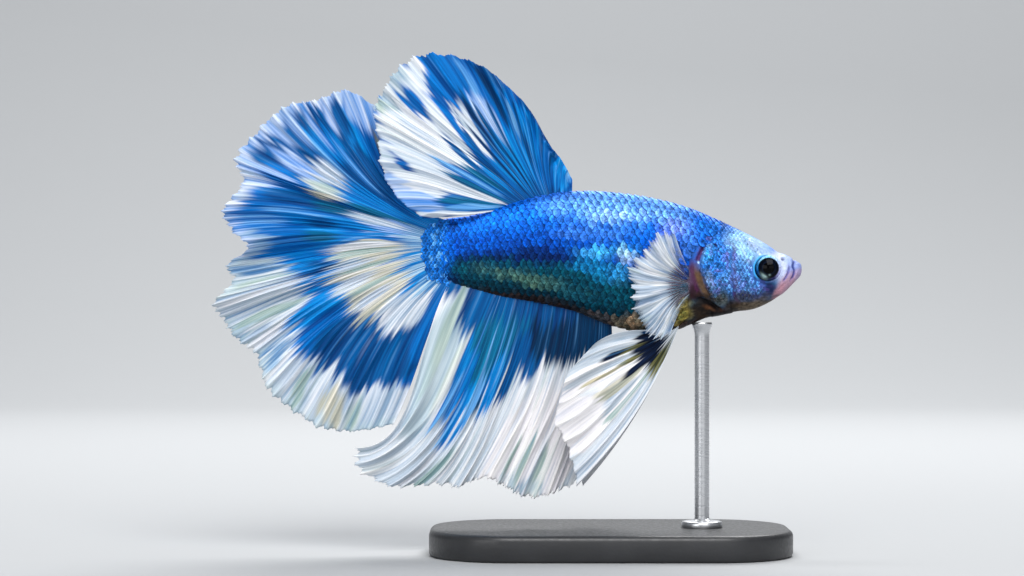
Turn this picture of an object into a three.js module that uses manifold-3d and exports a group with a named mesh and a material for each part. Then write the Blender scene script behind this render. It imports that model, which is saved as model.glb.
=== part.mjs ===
// A male betta fish as a life-size model, held above a flat display base by one rod.
// Millimetres. +X is forward, +Z is up and +Y is the fish's left.
// The origin is the middle of the flat underside of the base.

import * as THREE from 'three';
import { mergeVertices } from 'three/addons/utils/BufferGeometryUtils.js';
import Module from 'manifold-3d';

const wasm = await Module();
wasm.setup();

// ---------------------------------------------------------------- driving dimensions

const GAP = 0.3;                    // space left between touching pieces
const REACH = 30;                   // half length of the outlines pushed through the body
const FIN_THICKNESS = 0.5;

const BASE = { length: 44, width: 26, height: 3.2, corner: 10, bevel: 0.5 };
const ROD = { x: 11.2, radius: 0.9, foot: 1.5, sides: 16 };

// Body stations: x, height of the back, height of the belly, half width.
const STATIONS = [
  [23.25, 34.9, 34.4, 0.15],
  [23.1, 35.2, 34.1, 0.42],
  [22.6, 35.5, 33.5, 0.85],
  [21.95, 36.1, 32.7, 1.22],
  [21.2, 36.5, 31.9, 1.6],
  [20.4, 36.75, 31.3, 1.95],
  [19.5, 37.4, 30.7, 2.3],
  [18.3, 38.15, 30.1, 2.6],
  [17.1, 38.8, 29.7, 2.85],
  [14.6, 40.0, 29.4, 3.15],
  [11.7, 41.3, 28.6, 3.4],
  [9.0, 42.35, 27.5, 3.5],
  [4.8, 43.4, 26.9, 3.5],
  [0.4, 44.0, 27.75, 3.3],
  [-4.5, 44.15, 29.6, 2.9],
  [-9.2, 43.5, 30.65, 2.4],
  [-13, 42.4, 31.3, 1.95],
  [-17, 41.2, 32.15, 1.5],
  [-20, 40.8, 32.65, 1.1],
  [-21.3, 40.4, 33.1, 0.85],
  [-22, 39.2, 34.3, 0.55],
  [-22.3, 37.4, 36.2, 0.15],
];
const BODY_RINGS = 32;
const BODY_SIDES = 20;
const SLAB_STEPS = 18;
const END_CROWDING = 0.8;           // 0 spaces the rings evenly, 1 crowds them at snout and tail
const FLANK_POWER = 0.92;           // 1 makes an oval section, and less gives flatter flanks

// Where the body is parted: rows of height and x, from the belly up.
const HEAD_REAR = [
  [25, 14.6], [29.2, 13.9], [30.2, 13.0], [32, 11.7], [34, 10.9],
  [35.6, 10.6], [36.8, 11.2], [38.2, 11.9], [41, 12.2], [47, 12.4],
];
const TRUNK_REAR = [[25, -13.4], [33, -14.6], [37, -15], [41, -14.6], [47, -13.4]];
const GAPE = [
  [25, 19.5], [30.8, 19.7], [32.2, 20.4], [33.4, 21.5], [34.6, 22.0], [35.6, 22.4], [37, 23.1],
  [47, 27],
];

// Gill cover: its outline, how thick it is and how far it stands off the head.
const GILL_OUTLINE = [
  [15.0, 38.3], [15.4, 35.6], [15.75, 32.8], [15.3, 30.5], [14.4, 29.8],
  [13.4, 30.1], [12.5, 31.6], [11.75, 33.0], [11.15, 34.4], [11.0, 35.5],
  [11.45, 36.5], [11.85, 37.5], [13.1, 38.1],
];
const GILL = { x: 13.4, z: 34, thickness: 0.75, proud: 0.14, innerSide: 0.8, outlineSteps: 24 };

const EYE = { x: 19.36, z: 34.72, radius: 1.62, depth: 1.0, side: 1.75, across: 14, down: 8 };

// Curve of the spine, seen from above: the head turns one way and the tail the other.
const SPINE = { headFrom: 5, headBend: -0.004, tailFrom: -5, tailBend: 0.002 };

// Each fin is a fan of rays. roots and tips run across the fan as x and z.
// headings rows are: share of the way across, heading at the root, heading at the tip,
// in degrees upward from straight back.
// hang says how far to the side the sheet stands at its root and at its tips.
// edgeLean moves the rays within width of one edge (0 or 1) sideways, clear of the next fin.
// ruffle waves the margin around one part of the fan.
const FINS = {
  caudal_fin: {
    roots: [[-21, 41], [-21.8, 39.1], [-22.1, 36.8], [-21.4, 34.1], [-19.9, 32.1]],
    tips: [
      [-27.3, 53.7], [-32.1, 56.6], [-35.6, 55.6], [-39, 54.7], [-42.5, 52.1],
      [-45.5, 48.2], [-44.8, 45.3], [-47.1, 41.9], [-46.2, 39.6], [-44.2, 37.4],
      [-46.8, 35.3], [-45.9, 33.4], [-48.2, 30.7], [-47.3, 28.5], [-45.6, 26.4],
      [-43.2, 24.2], [-42.1, 20.8], [-39, 17.6], [-35.1, 15.4], [-31, 14.9], [-26.4, 15.8],
    ],
    headings: [
      [0, 22, 72], [0.1, 20, 58], [0.2, 22, 42], [0.3, 16, 6], [0.42, 4, -10],
      [0.55, -4, -8], [0.65, -12, -22], [0.78, -30, -44], [0.9, -50, -62], [1, -64, -62],
    ],
    folds: 11,
    foldDepth: 0.42,
    edgeLean: { by: 1.9, edge: 0, width: 0.26 },
    ruffle: { by: 1.5, middle: 0.52, halfWidth: 0.17, waves: 6.4 },
    columns: 52,
    rows: 6,
    teeth: { count: 26, depth: 0.03 },
  },
  anal_fin: {
    roots: [[-19.9, 32.5], [-16.1, 31.8], [-11, 31], [-5.5, 29.9], [0.2, 28.2]],
    tips: [
      [-30.6, 13], [-30.7, 10.6], [-27.9, 8.6], [-24.2, 8.3], [-20.7, 8.6],
      [-18.9, 8], [-15.9, 9.2], [-13.2, 8.3], [-11, 7.2], [-8.2, 7], [-5.9, 7.9], [-3.4, 9.1],
    ],
    headings: [
      [0, -62, -2], [0.12, -66, -22], [0.25, -72, -42], [0.4, -80, -58],
      [0.6, -86, -68], [0.8, -90, -72], [1, -92, -68],
    ],
    folds: 8,
    foldDepth: 0.4,
    edgeLean: { by: -1.7, edge: 0, width: 0.35 },
    columns: 32,
    rows: 6,
    teeth: { count: 16, depth: 0.025 },
  },
  dorsal_fin: {
    roots: [[-4.6, 43.6], [-6.6, 43.5], [-8.5, 43.2], [-10.7, 42.6], [-12.9, 42]],
    tips: [
      [-4.6, 45.6], [-5.9, 48], [-7.3, 49.8], [-9.8, 54.1], [-12.8, 57.3], [-15.9, 59.6],
      [-19.5, 60.8], [-23.4, 60.7], [-26.2, 58.6], [-27.9, 55.7], [-28.8, 53.9],
      [-28.1, 50.6], [-27.7, 46.8], [-26, 43.4], [-22.7, 40.8],
    ],
    headings: [
      [0, 88, 90], [0.15, 85, 70], [0.3, 72, 52], [0.45, 60, 48],
      [0.6, 48, 42], [0.75, 34, 26], [0.88, 14, -2], [1, -6, -12],
    ],
    folds: 8,
    foldDepth: 0.4,
    edgeLean: { by: -2.0, edge: 1, width: 0.5 },
    columns: 30,
    rows: 6,
    teeth: { count: 15, depth: 0.025 },
  },
};

// Paired fins are drawn for the right side and mirrored for the left one.
const PAIRED = {
  pectoral_fin: {
    roots: [[9.6, 34.2], [9.3, 33.5], [9.05, 32.6], [9.05, 31.8], [9.2, 31]],
    tips: [
      [7.6, 39.1], [5.6, 38.7], [3.8, 36.9], [2.3, 34.8], [2.4, 32.4],
      [2.9, 29.9], [4, 27.3], [5.6, 26.5], [7, 26.8],
    ],
    headings: [[0, 62, 78], [0.25, 35, 48], [0.5, 2, 8], [0.75, -28, -36], [1, -50, -68]],
    folds: 5,
    foldDepth: 0.12,
    hang: { root: -3.35, tip: -5.45 },
    columns: 18,
    rows: 4,
    teeth: { count: 9, depth: 0.03 },
  },
  pelvic_fin: {
    roots: [[6.6, 27.2], [7, 27.1], [7.5, 27], [8, 26.9]],
    tips: [
      [-2.2, 25.5], [-5.2, 22.1], [-6.1, 19.3], [-6.8, 16.3], [-5.4, 13.8], [-4.6, 11.1], [-4.1, 8.6],
    ],
    headings: [[0, 4, -42], [0.3, -18, -42], [0.6, -42, -42], [1, -68, -46]],
    folds: 3,
    foldDepth: 0.22,
    hang: { root: -1.3, tip: -4.7 },
    columns: 12,
    rows: 7,
    teeth: { count: 6, depth: 0.02 },
  },
};
const FAR_PELVIC_SWING = 3;         // degrees that the left pelvic fin hangs further down

const RAY_PULL = { root: 0.38, tip: 0.33 };   // how firmly a ray keeps its headings
const ROOT_START = -0.07;           // where a ray starts inside the body, as a share of its length
const FOLDS_FULL_AT = 0.75;         // how far out a fin's folds and leans reach their full depth
const LEAN_FULL_AT = 0.6;
const WIDER_PER_MM = 0.05;          // how much wider a fan is cut for each millimetre of growth

const PAINT = {
  head: { color: 0x7fb0e6, roughness: 0.42, metalness: 0.15 },
  lower_jaw: { color: 0xd9a6b4, roughness: 0.45, metalness: 0.0 },
  gill_cover: { color: 0x3f8fd8, roughness: 0.38, metalness: 0.2 },
  eye: { color: 0x0b0f1c, roughness: 0.08, metalness: 0.0 },
  trunk: { color: 0x2a6fd0, roughness: 0.38, metalness: 0.2 },
  tail_stem: { color: 0x2f7fd0, roughness: 0.38, metalness: 0.2 },
  caudal_fin: { color: 0x6fa6d8, roughness: 0.5, metalness: 0.05 },
  anal_fin: { color: 0x9fc0dc, roughness: 0.5, metalness: 0.05 },
  dorsal_fin: { color: 0x5f98da, roughness: 0.5, metalness: 0.05 },
  pectoral_fin: { color: 0xe4e9f2, roughness: 0.5, metalness: 0.0 },
  pelvic_fin: { color: 0xeceaf0, roughness: 0.5, metalness: 0.0 },
  stand_base: { color: 0x1b1c1e, roughness: 0.4, metalness: 0.0 },
  stand_rod: { color: 0xb9bcc0, roughness: 0.28, metalness: 1.0 },
};

// ---------------------------------------------------------------- curves and numbers

// 0 before from, 1 after to, and a smooth climb between them.
function rise(value, from, to) {
  return THREE.MathUtils.smoothstep(value, from, to);
}

// Rows start with a station and carry one or more values. A smooth curve runs through them.
function along(rows, station) {
  const last = rows.length - 1;
  const climbs = rows[last][0] > rows[0][0];
  let i = 0;
  while (i < last - 1 && (climbs ? station > rows[i + 1][0] : station < rows[i + 1][0])) i += 1;
  const slope = (row, column) => {
    const before = rows[Math.max(row - 1, 0)];
    const after = rows[Math.min(row + 1, last)];
    return (after[column] - before[column]) / (after[0] - before[0]);
  };
  const span = rows[i + 1][0] - rows[i][0];
  const u = (station - rows[i][0]) / span;
  const u2 = u * u;
  const u3 = u2 * u;
  return rows[i].slice(1).map((value, index) => (2 * u3 - 3 * u2 + 1) * value
    + (u3 - 2 * u2 + u) * span * slope(i, index + 1)
    + (3 * u2 - 2 * u3) * rows[i + 1][index + 1]
    + (u3 - u2) * span * slope(i + 1, index + 1));
}

function spineOffset(x) {
  const ahead = Math.max(x - SPINE.headFrom, 0);
  const behind = Math.max(SPINE.tailFrom - x, 0);
  return SPINE.headBend * ahead * ahead + SPINE.tailBend * behind * behind;
}

// ---------------------------------------------------------------- closed meshes and booleans

function geometryOf(points, faces) {
  const geometry = new THREE.BufferGeometry();
  geometry.setAttribute('position', new THREE.Float32BufferAttribute(points.flat(), 3));
  geometry.setIndex(faces.flat());
  return geometry;
}

// Turns a closed geometry, wound either way, into a solid that can be joined and cut.
function solid(geometry) {
  const bare = geometry.clone();
  for (const name of Object.keys(bare.attributes)) {
    if (name !== 'position') bare.deleteAttribute(name);
  }
  const merged = mergeVertices(bare, 1e-5);
  const index = Array.from(merged.index.array);
  const corner = (i) => new THREE.Vector3().fromBufferAttribute(merged.attributes.position, i);
  const kept = [];
  let volume = 0;
  for (let i = 0; i < index.length; i += 3) {
    const [a, b, c] = index.slice(i, i + 3);
    if (a !== b && b !== c && c !== a) {
      kept.push(a, b, c);
      volume += corner(a).dot(corner(b).cross(corner(c)));
    }
  }
  if (volume < 0) kept.reverse();
  return new wasm.Manifold(new wasm.Mesh({
    numProp: 3,
    vertProperties: new Float32Array(merged.attributes.position.array),
    triVerts: new Uint32Array(kept),
  }));
}

// Back from a solid, with the curve of the spine put in where it is asked for.
function geometryFrom(shape, bent) {
  const mesh = shape.getMesh();
  const geometry = new THREE.BufferGeometry();
  const points = new Float32Array(mesh.vertProperties);
  if (bent) {
    for (let i = 0; i < points.length; i += 3) points[i + 1] += spineOffset(points[i]);
  }
  geometry.setAttribute('position', new THREE.BufferAttribute(points, 3));
  geometry.setIndex(new THREE.BufferAttribute(new Uint32Array(mesh.triVerts), 1));
  return geometry;
}

// A flat outline in x and z, pushed through from one y to another.
function pushedThrough(points, fromY = -REACH, toY = REACH) {
  const outline = new THREE.Shape(points.map(([x, z]) => new THREE.Vector2(x, z)));
  const geometry = new THREE.ExtrudeGeometry(outline, {
    depth: toY - fromY, bevelEnabled: false, steps: 1,
  });
  geometry.rotateX(Math.PI / 2);
  geometry.translate(0, toY, 0);
  return solid(geometry);
}

function smoothOutline(points, count) {
  const curve = new THREE.CatmullRomCurve3(points.map(([x, z]) => new THREE.Vector3(x, z, 0)), true);
  return curve.getPoints(count).slice(0, -1).map((p) => [p.x, p.y]);
}

// ---------------------------------------------------------------- body

// The whole body without fins, as rings from nose to tail. grow swells it on every side.
function bodyForm(grow = 0) {
  const first = STATIONS[0][0];
  const last = STATIONS[STATIONS.length - 1][0];
  const middle = (first + last) / 2;
  const stretch = 1 + (2 * grow) / (first - last);
  const points = [];
  const faces = [];
  for (let ring = 0; ring <= BODY_RINGS; ring += 1) {
    const share = ring / BODY_RINGS;
    const eased = share - END_CROWDING * Math.sin(2 * Math.PI * share) / (2 * Math.PI);
    const x = first + (last - first) * eased;
    const [back, belly, halfWidth] = along(STATIONS, x);
    const waist = (back + belly) / 2;
    for (let side = 0; side < BODY_SIDES; side += 1) {
      const angle = (2 * Math.PI * side) / BODY_SIDES;
      const height = Math.sin(angle) * ((back - belly) / 2 + grow);
      const across = Math.sign(Math.cos(angle)) * Math.abs(Math.cos(angle)) ** FLANK_POWER;
      points.push([middle + (x - middle) * stretch, across * (halfWidth + grow), waist + height]);
    }
  }
  for (let ring = 0; ring < BODY_RINGS; ring += 1) {
    for (let side = 0; side < BODY_SIDES; side += 1) {
      const a = ring * BODY_SIDES + side;
      const b = ring * BODY_SIDES + ((side + 1) % BODY_SIDES);
      faces.push([a, b, b + BODY_SIDES], [a, b + BODY_SIDES, a + BODY_SIDES]);
    }
  }
  const lastRing = BODY_RINGS * BODY_SIDES;
  for (let side = 1; side < BODY_SIDES - 1; side += 1) {
    faces.push([0, side + 1, side], [lastRing, lastRing + side, lastRing + side + 1]);
  }
  return solid(geometryOf(points, faces));
}

// Everything ahead of a parting line, or behind it, as a thick slab.
function slab(rows, ahead) {
  const shift = ahead ? GAP / 2 : -GAP / 2;
  const lowest = rows[0][0];
  const highest = rows[rows.length - 1][0];
  const line = [];
  for (let step = 0; step <= SLAB_STEPS; step += 1) {
    const z = lowest + ((highest - lowest) * step) / SLAB_STEPS;
    line.push([along(rows, z)[0] + shift, z]);
  }
  const far = ahead ? REACH : -REACH;
  return pushedThrough([...line, [far, highest], [far, lowest]]);
}

function eyeForm(sign, grow = 0) {
  const geometry = new THREE.SphereGeometry(1, EYE.across, EYE.down);
  geometry.rotateX(Math.PI / 2);
  geometry.scale(EYE.radius + grow, EYE.depth + grow, EYE.radius + grow);
  geometry.translate(EYE.x, sign * EYE.side, EYE.z);
  return solid(geometry);
}

// A gill cover is a plate cut from the outer layer of the body. grow widens the cut for it.
function gillForm(sign, grow = 0) {
  const centre = new THREE.Vector2(GILL.x, GILL.z);
  const outline = smoothOutline(GILL_OUTLINE, GILL.outlineSteps).map(([x, z]) => {
    const outward = new THREE.Vector2(x, z).sub(centre).setLength(grow);
    return [x + outward.x, z + outward.y];
  });
  const [fromY, toY] = sign > 0 ? [GILL.innerSide, REACH] : [-REACH, -GILL.innerSide];
  return bodyForm(GILL.proud + grow)
    .intersect(pushedThrough(outline, fromY, toY))
    .subtract(bodyForm(GILL.proud - GILL.thickness - grow));
}

// ---------------------------------------------------------------- fins

// A point of a fin's sheet: s runs across the fan of rays and t out along a ray.
function finPoint(fin, s, t) {
  const at = (list) => {
    const rows = list.map((value, index) => [index / (list.length - 1), ...value]);
    const [x, z] = along(rows, s);
    return new THREE.Vector2(x, z);
  };
  const root = at(fin.roots);
  const tip = at(fin.tips);
  const [rootHeading, tipHeading] = along(fin.headings, s).map(THREE.MathUtils.degToRad);
  const length = root.distanceTo(tip);
  const out = (heading, reach) => new THREE.Vector2(-Math.cos(heading), Math.sin(heading))
    .multiplyScalar(reach);
  const ray = new THREE.CubicBezierCurve(
    root,
    root.clone().add(out(rootHeading, RAY_PULL.root * length)),
    tip.clone().sub(out(tipHeading, RAY_PULL.tip * length)),
    tip,
  );
  const flat = ray.getPoint(t);
  return [flat.x, sheetOffset(fin, s, t), flat.y];
}

// How far to the side the middle of a fin's sheet stands.
function sheetOffset(fin, s, t) {
  const { hang, edgeLean, ruffle } = fin;
  let offset = Math.sin(2 * Math.PI * fin.folds * s) * fin.foldDepth * rise(t, 0, FOLDS_FULL_AT);
  if (hang) offset += hang.root + (hang.tip - hang.root) * Math.sin((Math.PI / 2) * t);
  if (edgeLean) {
    const near = 1 - rise(Math.abs(s - edgeLean.edge), 0, edgeLean.width);
    offset += edgeLean.by * near * rise(t, 0, LEAN_FULL_AT);
  }
  if (ruffle) {
    const near = 1 - rise(Math.abs(s - ruffle.middle), ruffle.halfWidth / 2, ruffle.halfWidth);
    offset += ruffle.by * near * t * t * Math.sin(2 * Math.PI * ruffle.waves * s);
  }
  return offset;
}

// The fan as a closed sheet with a toothed margin. Its root starts inside the body.
// grow thickens and widens it, for the cut that a neighbouring fin takes from it.
function finForm(fin, { mirrored = false, swing = 0, grow = 0 } = {}) {
  const thickness = FIN_THICKNESS + 2 * grow;
  const overhang = grow * WIDER_PER_MM;
  const points = [];
  const faces = [];
  const across = fin.columns + 1;
  const perSide = across * (fin.rows + 1);
  for (const side of [-1, 1]) {
    for (let row = 0; row <= fin.rows; row += 1) {
      for (let column = 0; column <= fin.columns; column += 1) {
        const s = -overhang + (1 + 2 * overhang) * (column / fin.columns);
        const tooth = Math.abs(Math.sin(Math.PI * fin.teeth.count * s));
        const end = 1 - fin.teeth.depth * (1 - tooth);
        const t = ROOT_START + (end - ROOT_START) * (row / fin.rows);
        const [x, y, z] = finPoint(fin, s, t);
        points.push([x, y + (side * thickness) / 2, z]);
      }
    }
  }
  const quad = (a, b, c, d) => faces.push([a, b, c], [a, c, d]);
  for (let row = 0; row < fin.rows; row += 1) {
    for (let column = 0; column < fin.columns; column += 1) {
      const a = row * across + column;
      quad(a, a + 1, a + across + 1, a + across);
      quad(perSide + a, perSide + a + across, perSide + a + across + 1, perSide + a + 1);
    }
  }
  for (let column = 0; column < fin.columns; column += 1) {
    const top = fin.rows * across + column;
    quad(column + 1, column, perSide + column, perSide + column + 1);
    quad(top, top + 1, perSide + top + 1, perSide + top);
  }
  for (let row = 0; row < fin.rows; row += 1) {
    const a = row * across;
    const b = a + fin.columns;
    quad(a, a + across, perSide + a + across, perSide + a);
    quad(b + across, b, perSide + b, perSide + b + across);
  }
  const geometry = geometryOf(points, faces);
  if (swing) {
    const [x, z] = fin.roots[fin.roots.length - 1];
    geometry.translate(-x, 0, -z);
    geometry.rotateY(THREE.MathUtils.degToRad(-swing));
    geometry.translate(x, 0, z);
  }
  if (mirrored) geometry.scale(1, -1, 1);
  return solid(geometry);
}

// ---------------------------------------------------------------- stand

function baseForm() {
  const { length, width, height, corner, bevel } = BASE;
  const outline = new THREE.Shape();
  const x = length / 2 - bevel;
  const y = width / 2 - bevel;
  outline.moveTo(-x + corner, -y);
  outline.lineTo(x - corner, -y);
  outline.absarc(x - corner, -y + corner, corner, -Math.PI / 2, 0);
  outline.absarc(x - corner, y - corner, corner, 0, Math.PI / 2);
  outline.absarc(-x + corner, y - corner, corner, Math.PI / 2, Math.PI);
  outline.absarc(-x + corner, -y + corner, corner, Math.PI, 1.5 * Math.PI);
  const geometry = new THREE.ExtrudeGeometry(outline, {
    depth: height - 2 * bevel, bevelThickness: bevel, bevelSize: bevel, bevelSegments: 1, curveSegments: 6,
  });
  geometry.translate(0, 0, bevel);
  return solid(geometry);
}

function rodForm(grow, from, to) {
  const geometry = new THREE.CylinderGeometry(ROD.radius + grow, ROD.radius + grow, to - from, ROD.sides);
  geometry.rotateX(Math.PI / 2);
  geometry.translate(ROD.x, spineOffset(ROD.x), (from + to) / 2);
  return solid(geometry);
}

// ---------------------------------------------------------------- assembly

const group = new THREE.Group();

function add(name, shape, paint, bent = true) {
  const mesh = new THREE.Mesh(geometryFrom(shape, bent), new THREE.MeshStandardMaterial(paint));
  mesh.name = name;
  group.add(mesh);
}

const body = bodyForm();
const bodyAndGap = bodyForm(GAP);
const sides = [['right', -1], ['left', 1]];

const headWithJaw = body.intersect(slab(HEAD_REAR, true));
let head = headWithJaw.intersect(slab(GAPE, false));
for (const [, sign] of sides) {
  head = head.subtract(eyeForm(sign, GAP)).subtract(gillForm(sign, GAP));
}
add('head', head, PAINT.head);
add('lower_jaw', headWithJaw.intersect(slab(GAPE, true)), PAINT.lower_jaw);
for (const [side, sign] of sides) {
  add(`gill_cover_${side}`, gillForm(sign), PAINT.gill_cover);
  add(`eye_${side}`, eyeForm(sign), PAINT.eye);
}

const behindHead = body.intersect(slab(HEAD_REAR, false));
add('trunk', behindHead.intersect(slab(TRUNK_REAR, true)), PAINT.trunk);
add('tail_stem', behindHead.intersect(slab(TRUNK_REAR, false)), PAINT.tail_stem);

for (const [name, fin] of Object.entries(FINS)) {
  let form = finForm(fin).subtract(bodyAndGap);
  if (name === 'anal_fin') form = form.subtract(finForm(FINS.caudal_fin, { grow: GAP }));
  add(name, form, PAINT[name]);
}
for (const [name, fin] of Object.entries(PAIRED)) {
  for (const [side, sign] of sides) {
    const swing = name === 'pelvic_fin' && sign > 0 ? FAR_PELVIC_SWING : 0;
    const form = finForm(fin, { mirrored: sign > 0, swing }).subtract(bodyAndGap);
    add(`${name}_${side}`, form, PAINT[name]);
  }
}

const bentBodyAndGap = solid(geometryFrom(bodyAndGap, true));
const SOCKET_FLOOR = ROD.foot - GAP;
const CHEST = 31;                   // a height inside the chest, where the uncut rod ends
const socket = rodForm(GAP, SOCKET_FLOOR, BASE.height + GAP);
add('stand_base', baseForm().subtract(socket), PAINT.stand_base, false);
add('stand_rod', rodForm(0, ROD.foot, CHEST).subtract(bentBodyAndGap), PAINT.stand_rod, false);

export default group;
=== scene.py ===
"""A still, life-size male betta fish on a plain display stand.

One skin with solid scales replaces the parted flesh of the frame, and fine ribbed sheets replace its fins.
Shapes are worked out in the frame's axes in millimetres (+X forward, +Y the fish's left, +Z up) and become
metres when a mesh is made.
"""
import math

import bpy
import numpy as np
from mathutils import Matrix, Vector


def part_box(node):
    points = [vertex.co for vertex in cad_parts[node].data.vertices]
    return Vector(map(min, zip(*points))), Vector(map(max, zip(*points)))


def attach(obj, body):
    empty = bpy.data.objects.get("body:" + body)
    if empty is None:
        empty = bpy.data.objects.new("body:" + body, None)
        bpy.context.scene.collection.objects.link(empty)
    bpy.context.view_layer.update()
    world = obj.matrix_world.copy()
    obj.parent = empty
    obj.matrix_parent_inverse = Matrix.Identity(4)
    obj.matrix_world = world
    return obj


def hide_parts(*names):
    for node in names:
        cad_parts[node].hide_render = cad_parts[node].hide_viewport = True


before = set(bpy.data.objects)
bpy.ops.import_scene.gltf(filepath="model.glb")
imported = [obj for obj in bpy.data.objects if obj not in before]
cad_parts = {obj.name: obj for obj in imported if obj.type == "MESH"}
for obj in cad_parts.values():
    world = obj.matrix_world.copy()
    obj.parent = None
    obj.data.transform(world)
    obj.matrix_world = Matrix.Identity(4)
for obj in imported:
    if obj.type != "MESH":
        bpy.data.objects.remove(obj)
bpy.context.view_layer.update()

MM = 0.001              # metres in a millimetre
RIGHT, LEFT = -1, 1     # which way the fish's two sides lie in Y

# ---------------------------------------------------------------- curves and noise


def smooth(value, low, high):
    """0 below low, 1 above high, and a smooth climb between."""
    share = np.clip((np.asarray(value, float) - low) / (high - low), 0, 1)
    return share * share * (3 - 2 * share)


def bell(value, width):
    """1 at 0, about a third at the width, and 0 far off to both sides."""
    return np.exp(-((value / width) ** 2))


def along(rows, station):
    """Rows start with a station and carry values. A smooth curve runs through them."""
    table = np.asarray(rows, float)
    where = np.asarray(station, float)
    x, y = table[:, 0], table[:, 1:]
    slope = np.empty_like(y)
    slope[1:-1] = (y[2:] - y[:-2]) / (x[2:] - x[:-2])[:, None]
    slope[0] = (y[1] - y[0]) / (x[1] - x[0])
    slope[-1] = (y[-1] - y[-2]) / (x[-1] - x[-2])
    sign = 1 if x[-1] > x[0] else -1
    i = np.clip(np.searchsorted(sign * x, sign * where, side="right") - 1, 0, len(x) - 2)
    span = (x[i + 1] - x[i])[..., None]
    u = (where - x[i])[..., None] / span
    return ((2 * u**3 - 3 * u**2 + 1) * y[i] + (u**3 - 2 * u**2 + u) * span * slope[i]
            + (3 * u**2 - 2 * u**3) * y[i + 1] + (u**3 - u**2) * span * slope[i + 1])


def value_along(rows, station):
    """The same for rows with one value."""
    return along(rows, station)[..., 0]


def evenly(points):
    """Gives a list of points their even places from 0 to 1."""
    return [(i / (len(points) - 1), *point) for i, point in enumerate(points)]


def joined(*values):
    """Numbers or arrays side by side on a new last axis."""
    return np.stack(np.broadcast_arrays(*values), -1)


NOISE_CELLS = 256       # the lattice repeats after this many cells


def noise(x, y, seed):
    """Smooth noise from 0 to 1 over a lattice of unit cells."""
    lattice = np.random.default_rng(seed).random((NOISE_CELLS, NOISE_CELLS))
    x, y = np.broadcast_arrays(np.asarray(x, float), np.asarray(y, float))
    column, row = np.floor(x).astype(int), np.floor(y).astype(int)
    u, v = smooth(x - column, 0, 1), smooth(y - row, 0, 1)

    def corner(across, up):
        return lattice[(column + across) % NOISE_CELLS, (row + up) % NOISE_CELLS]

    low = corner(0, 0) * (1 - u) + corner(1, 0) * u
    high = corner(0, 1) * (1 - u) + corner(1, 1) * u
    return low * (1 - v) + high * v


# ---------------------------------------------------------------- colours


def linear(rgb):
    """Linear numbers of a screen colour from 0 to 255."""
    share = np.asarray(rgb, float) / 255
    return np.where(share <= 0.04045, share / 12.92, ((share + 0.055) / 1.055) ** 2.4)


def towards(colour, other, share):
    """A colour moved a share of the way to another."""
    return colour + (other - colour) * np.asarray(share)[..., None]


def between_stops(value, stops):
    """Linear colours at values between stops of place and linear colour."""
    places, colours = zip(*stops)
    return np.stack([np.interp(value, places, channel) for channel in np.transpose(colours)], -1)


# The fins' screen colours on a ridge, lighter with the ray's own colour and painted highlight, and in a groove,
# darker with painted shade.
PALETTE = dict(
    white=((255, 255, 255), (178, 193, 208)), pearl=((240, 244, 250), (130, 156, 182)),
    lilac=((208, 226, 252), (62, 128, 204)), cream=((244, 238, 222), (156, 160, 146)),
    tan=((222, 210, 178), (128, 132, 112)), sage=((200, 216, 208), (112, 142, 144)),
    slate=((176, 206, 232), (54, 108, 158)), sky=((136, 200, 246), (16, 108, 186)),
    azure=((12, 158, 236), (0, 94, 170)), royal=((0, 128, 216), (0, 68, 138)),
    deep=((0, 102, 172), (0, 54, 112)), ink=((2, 84, 142), (0, 42, 88)), abyss=((0, 64, 108), (0, 32, 66)),
    navy=((14, 36, 72), (2, 8, 26)), teal=((14, 128, 174), (0, 64, 104)),
    olive=((150, 146, 92), (40, 48, 34)), glass=((212, 226, 240), (126, 150, 180)),
    frill=((226, 236, 252), (60, 126, 196)), stream=((192, 230, 250), (20, 108, 172)),
    # the first colour in this row keeps its grooves nearly as light as its ridges; on the anal fin's lower
    # front this is painted light where the pelvic fins' shadow falls
    warm=((255, 252, 250), (222, 220, 226)), mist=((218, 230, 234), (138, 164, 182)),
    stain=((112, 78, 96), (44, 24, 44)),
)


def tone(name, light):
    """A palette colour in linear numbers, from its painted groove shade at light 0 to its ridge colour with
    painted highlight at 1.
    """
    ridge, groove = (linear(shade) for shade in PALETTE[name])
    return groove + (ridge - groove) * np.asarray(light, float)[..., None]


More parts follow.
